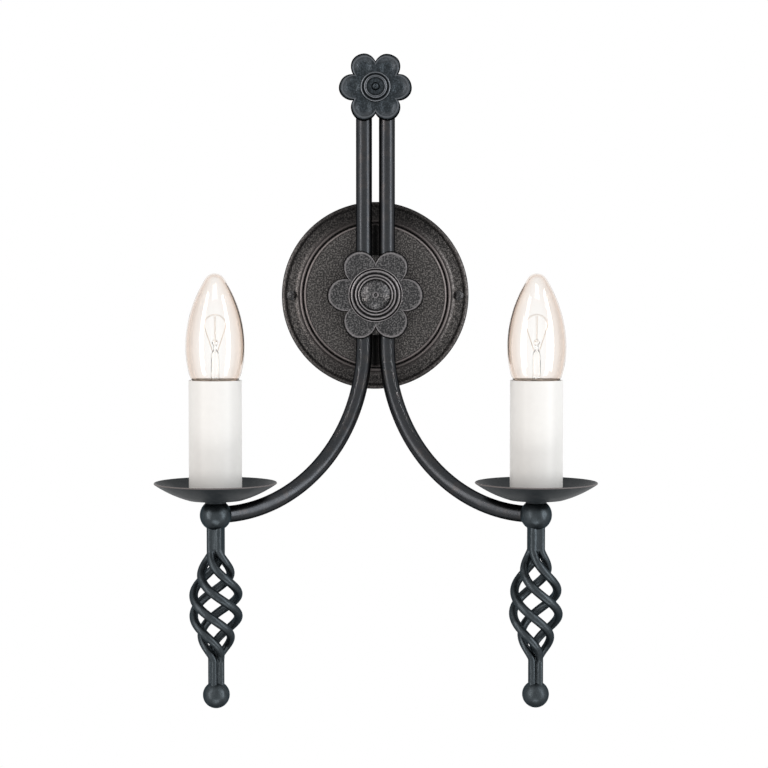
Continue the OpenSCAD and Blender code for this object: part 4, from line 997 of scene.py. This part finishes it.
for side, sign in SIDES:
    place = arm_place(sign, arm_reach, -arm_drop)
    lay = standing(*place)
    glass = turned(f"{side}_blown_glass", glass_line(0) + glass_line(glass_t)[::-1], lay, bulb_glass,
                   turns=128, ring=True, crease=60)
    cap = threaded_cap(f"{side}_cap_shell", lay, nickel)
    tip = turned(f"{side}_cap_contact", tip_outline, lay, nickel, turns=48)
    stem = turned(f"{side}_glass_stem", stem_outline, lay, stem_glass, turns=64, crease=60)
    wires = []
    foot = stem_top + 2 * MM
    for way in (-1, 1):
        start, rise = Vector((way * lead_foot, 0, foot)), Vector((way * lead_spread, 0, filament_z - foot))
        lead = [place + start + rise * i / 10 for i in range(11)]
        start = Vector((0, way * hook_out, button_z))
        rise = Vector((0, way * hook_out, hook_top - button_z))
        hook = [place + start + rise * i / 8 for i in range(9)]
        wires.append(tube_along(f"{side}_lead", lead, [lead_r] * len(lead), tungsten, sides=10))
        wires.append(tube_along(f"{side}_support", hook, [hook_r] * len(hook), tungsten, sides=10))
    coil = []
    for i in range(windings * coil_steps + 1):
        bend = math.pi * i / (windings * coil_steps)
        spin = 2 * math.pi * i / coil_steps
        r = filament_r + coil_r * math.cos(spin)
        z = filament_z + r * math.sin(bend)
        coil.append(place + Vector((r * math.cos(bend), coil_r * math.sin(spin), z)))
    wires.append(tube_along(f"{side}_coil", coil, [wire_r] * len(coil), tungsten, sides=6))
    parts = [(glass, "bulb_glass", "clear_glass"), (cap, "bulb_cap", "nickel"), (tip, "bulb_cap", "nickel"),
             (stem, "bulb_stem", "stem_glass")] + [(wire, "bulb_filament", "filament_wire") for wire in wires]
    for piece, node, slot in parts:
        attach(piece, f"{side}_bulb")
        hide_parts(f"{side}_{node}")


# The fittings behind and inside: zinc-plated bracket, screws, studs, nuts and nipples, brass contacts
# and terminals, a moulded block, black moulded lampholders and the wiring. They keep their own shapes.
zinc = metal("zinc_plate", (0.66, 0.67, 0.69), (0.5, 0.5, 0.5), 0.32, 0.01 * MM, 90)
brass = metal("plain_brass", (0.78, 0.6, 0.29), (0.62, 0.45, 0.2), 0.3, 0.01 * MM, 150)


def moulded(name, colour, shade, roughness, gloss):
    """Moulded plastic: a soft mottle under a fine skin."""
    finish, tree, shader = new_finish(name)
    grain = put(tree, GRAIN, Coat=shade, Speck=colour, Grain_Size=1.2 * MM, Roughness=roughness).outputs
    plug(tree, shader, Coat_Weight=gloss, Base_Color=grain["Colour"], Roughness=grain["Roughness"],
         Normal=bumped(tree, grain["Height"], 0.02 * MM).outputs["Normal"])
    return finish


nylon = moulded("white_nylon", (0.86, 0.85, 0.8), (0.8, 0.78, 0.73), 0.45, 0.0)
thermoset = moulded("black_thermoset", (0.035, 0.032, 0.03), (0.022, 0.02, 0.019), 0.28, 0.3)
cap_glass = moulded("black_cap_glass", (0.03, 0.025, 0.035), (0.015, 0.012, 0.018), 0.12, 0.5)
brown_sleeving = moulded("wire_sleeving", (0.16, 0.07, 0.035), (0.12, 0.05, 0.025), 0.4, 0.0)
green_sleeving = moulded("earth_sleeving", (0.16, 0.3, 0.04), (0.12, 0.24, 0.03), 0.4, 0.0)
fittings = {
    zinc: ["wall_bracket", "terminal_clamp_screws", "terminal_block_screws", "carrier_screws",
           "centre_stud", "top_stud", "stud_nuts"],
    brass: ["bracket_earth_screw", "terminal_barrels"],
    nylon: ["terminal_block"],
    green_sleeving: ["earth_wire"],
    basket_black: ["top_tie"],
}
for finish, names in fittings.items():
    for name in names:
        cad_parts[name].material_slots[0].material = finish
side_fittings = {
    zinc: ["nipple", "pan_nut"],
    brass: ["screw_shell", "centre_contact", "holder_terminals"],
    thermoset: ["holder_base", "holder_body"],
    cap_glass: ["bulb_insulator"],
    brown_sleeving: ["wires"],
}
for side, sign in SIDES:
    for finish, names in side_fittings.items():
        for name in names:
            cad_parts[f"{side}_{name}"].material_slots[0].material = finish


# The studio: the lamp hangs 1.7 m above a pale floor, as on a wall. Two tall soft boxes stand to its
# left and right, the left one a little warmer, and a low one lies in front. The background is white.
floor_z = -1.7
floor_r = 1.2
floor_t = 0.02
pale, tree, shader = new_finish("pale_floor")
plug(tree, shader, Base_Color=(0.8, 0.8, 0.79), Roughness=0.8)
floor_outline = [(0, floor_z), (floor_r, floor_z), (floor_r, floor_z - floor_t), (0, floor_z - floor_t)]
floor = turned("floor", floor_outline, standing(0, 0, 0), pale, turns=96)


def soft_box(name, azimuth, height, distance, width, tall, radiance, colour):
    """A soft box that faces the lamp. Azimuth 0 is straight in front, and positive is to the right."""
    light = bpy.data.lights.new(name, "AREA")
    light.shape = "RECTANGLE"
    light.size = width
    light.size_y = tall
    light.energy = radiance * math.pi * width * tall
    light.color = colour
    box = bpy.data.objects.new(name, light)
    turn = math.radians(azimuth)
    box.location = (distance * math.sin(turn), -distance * math.cos(turn), height)
    aim = Vector((0, 0, -0.05)) - box.location
    box.rotation_euler = aim.to_track_quat("-Z", "Y").to_euler()
    bpy.context.collection.objects.link(box)


soft_box("left_box", -50, 0.3, 1.7, 0.5, 2.3, 5, (1.0, 0.96, 0.94))
soft_box("right_box", 57, 0.3, 1.7, 0.5, 2.3, 6, (0.98, 0.985, 1.0))
soft_box("low_box", 0, -1.3, 1.1, 0.8, 0.4, 6, (1.0, 1.0, 1.0))

world = bpy.data.worlds.new("studio")
bpy.context.scene.world = world
world.use_nodes = True
tree = world.node_tree
tree.nodes.clear()
seen = put(tree, "ShaderNodeBackground", Color=(1, 1, 1), Strength=1)
fill = put(tree, "ShaderNodeBackground", Color=(1, 1, 1), Strength=0.3)
rays = put(tree, "ShaderNodeLightPath").outputs
direct = maths(tree, "MAXIMUM", rays["Is Camera Ray"], rays["Is Glossy Ray"])
choice = tree.nodes.new("ShaderNodeMixShader")
tree.links.new(maths(tree, "MAXIMUM", direct, rays["Is Transmission Ray"]), choice.inputs[0])
tree.links.new(fill.outputs[0], choice.inputs[1])
tree.links.new(seen.outputs[0], choice.inputs[2])
put(tree, "ShaderNodeOutputWorld", Surface=choice.outputs[0])
bpy.context.scene.view_settings.view_transform = "Standard"


# The camera: nearly level with the plate and 1.15 m from the wall, looking slightly down.
look_down = 2.34
look_right = 0.55
camera = bpy.data.objects.new("camera", bpy.data.cameras.new("camera"))
camera.data.lens = 83.6
camera.location = (-5.4 * MM, -1151 * MM, -10 * MM)
camera.rotation_euler = Euler((math.radians(90 - look_down), 0, math.radians(-look_right)))
camera.data.clip_start = 0.05
bpy.context.collection.objects.link(camera)
bpy.context.scene.camera = camera
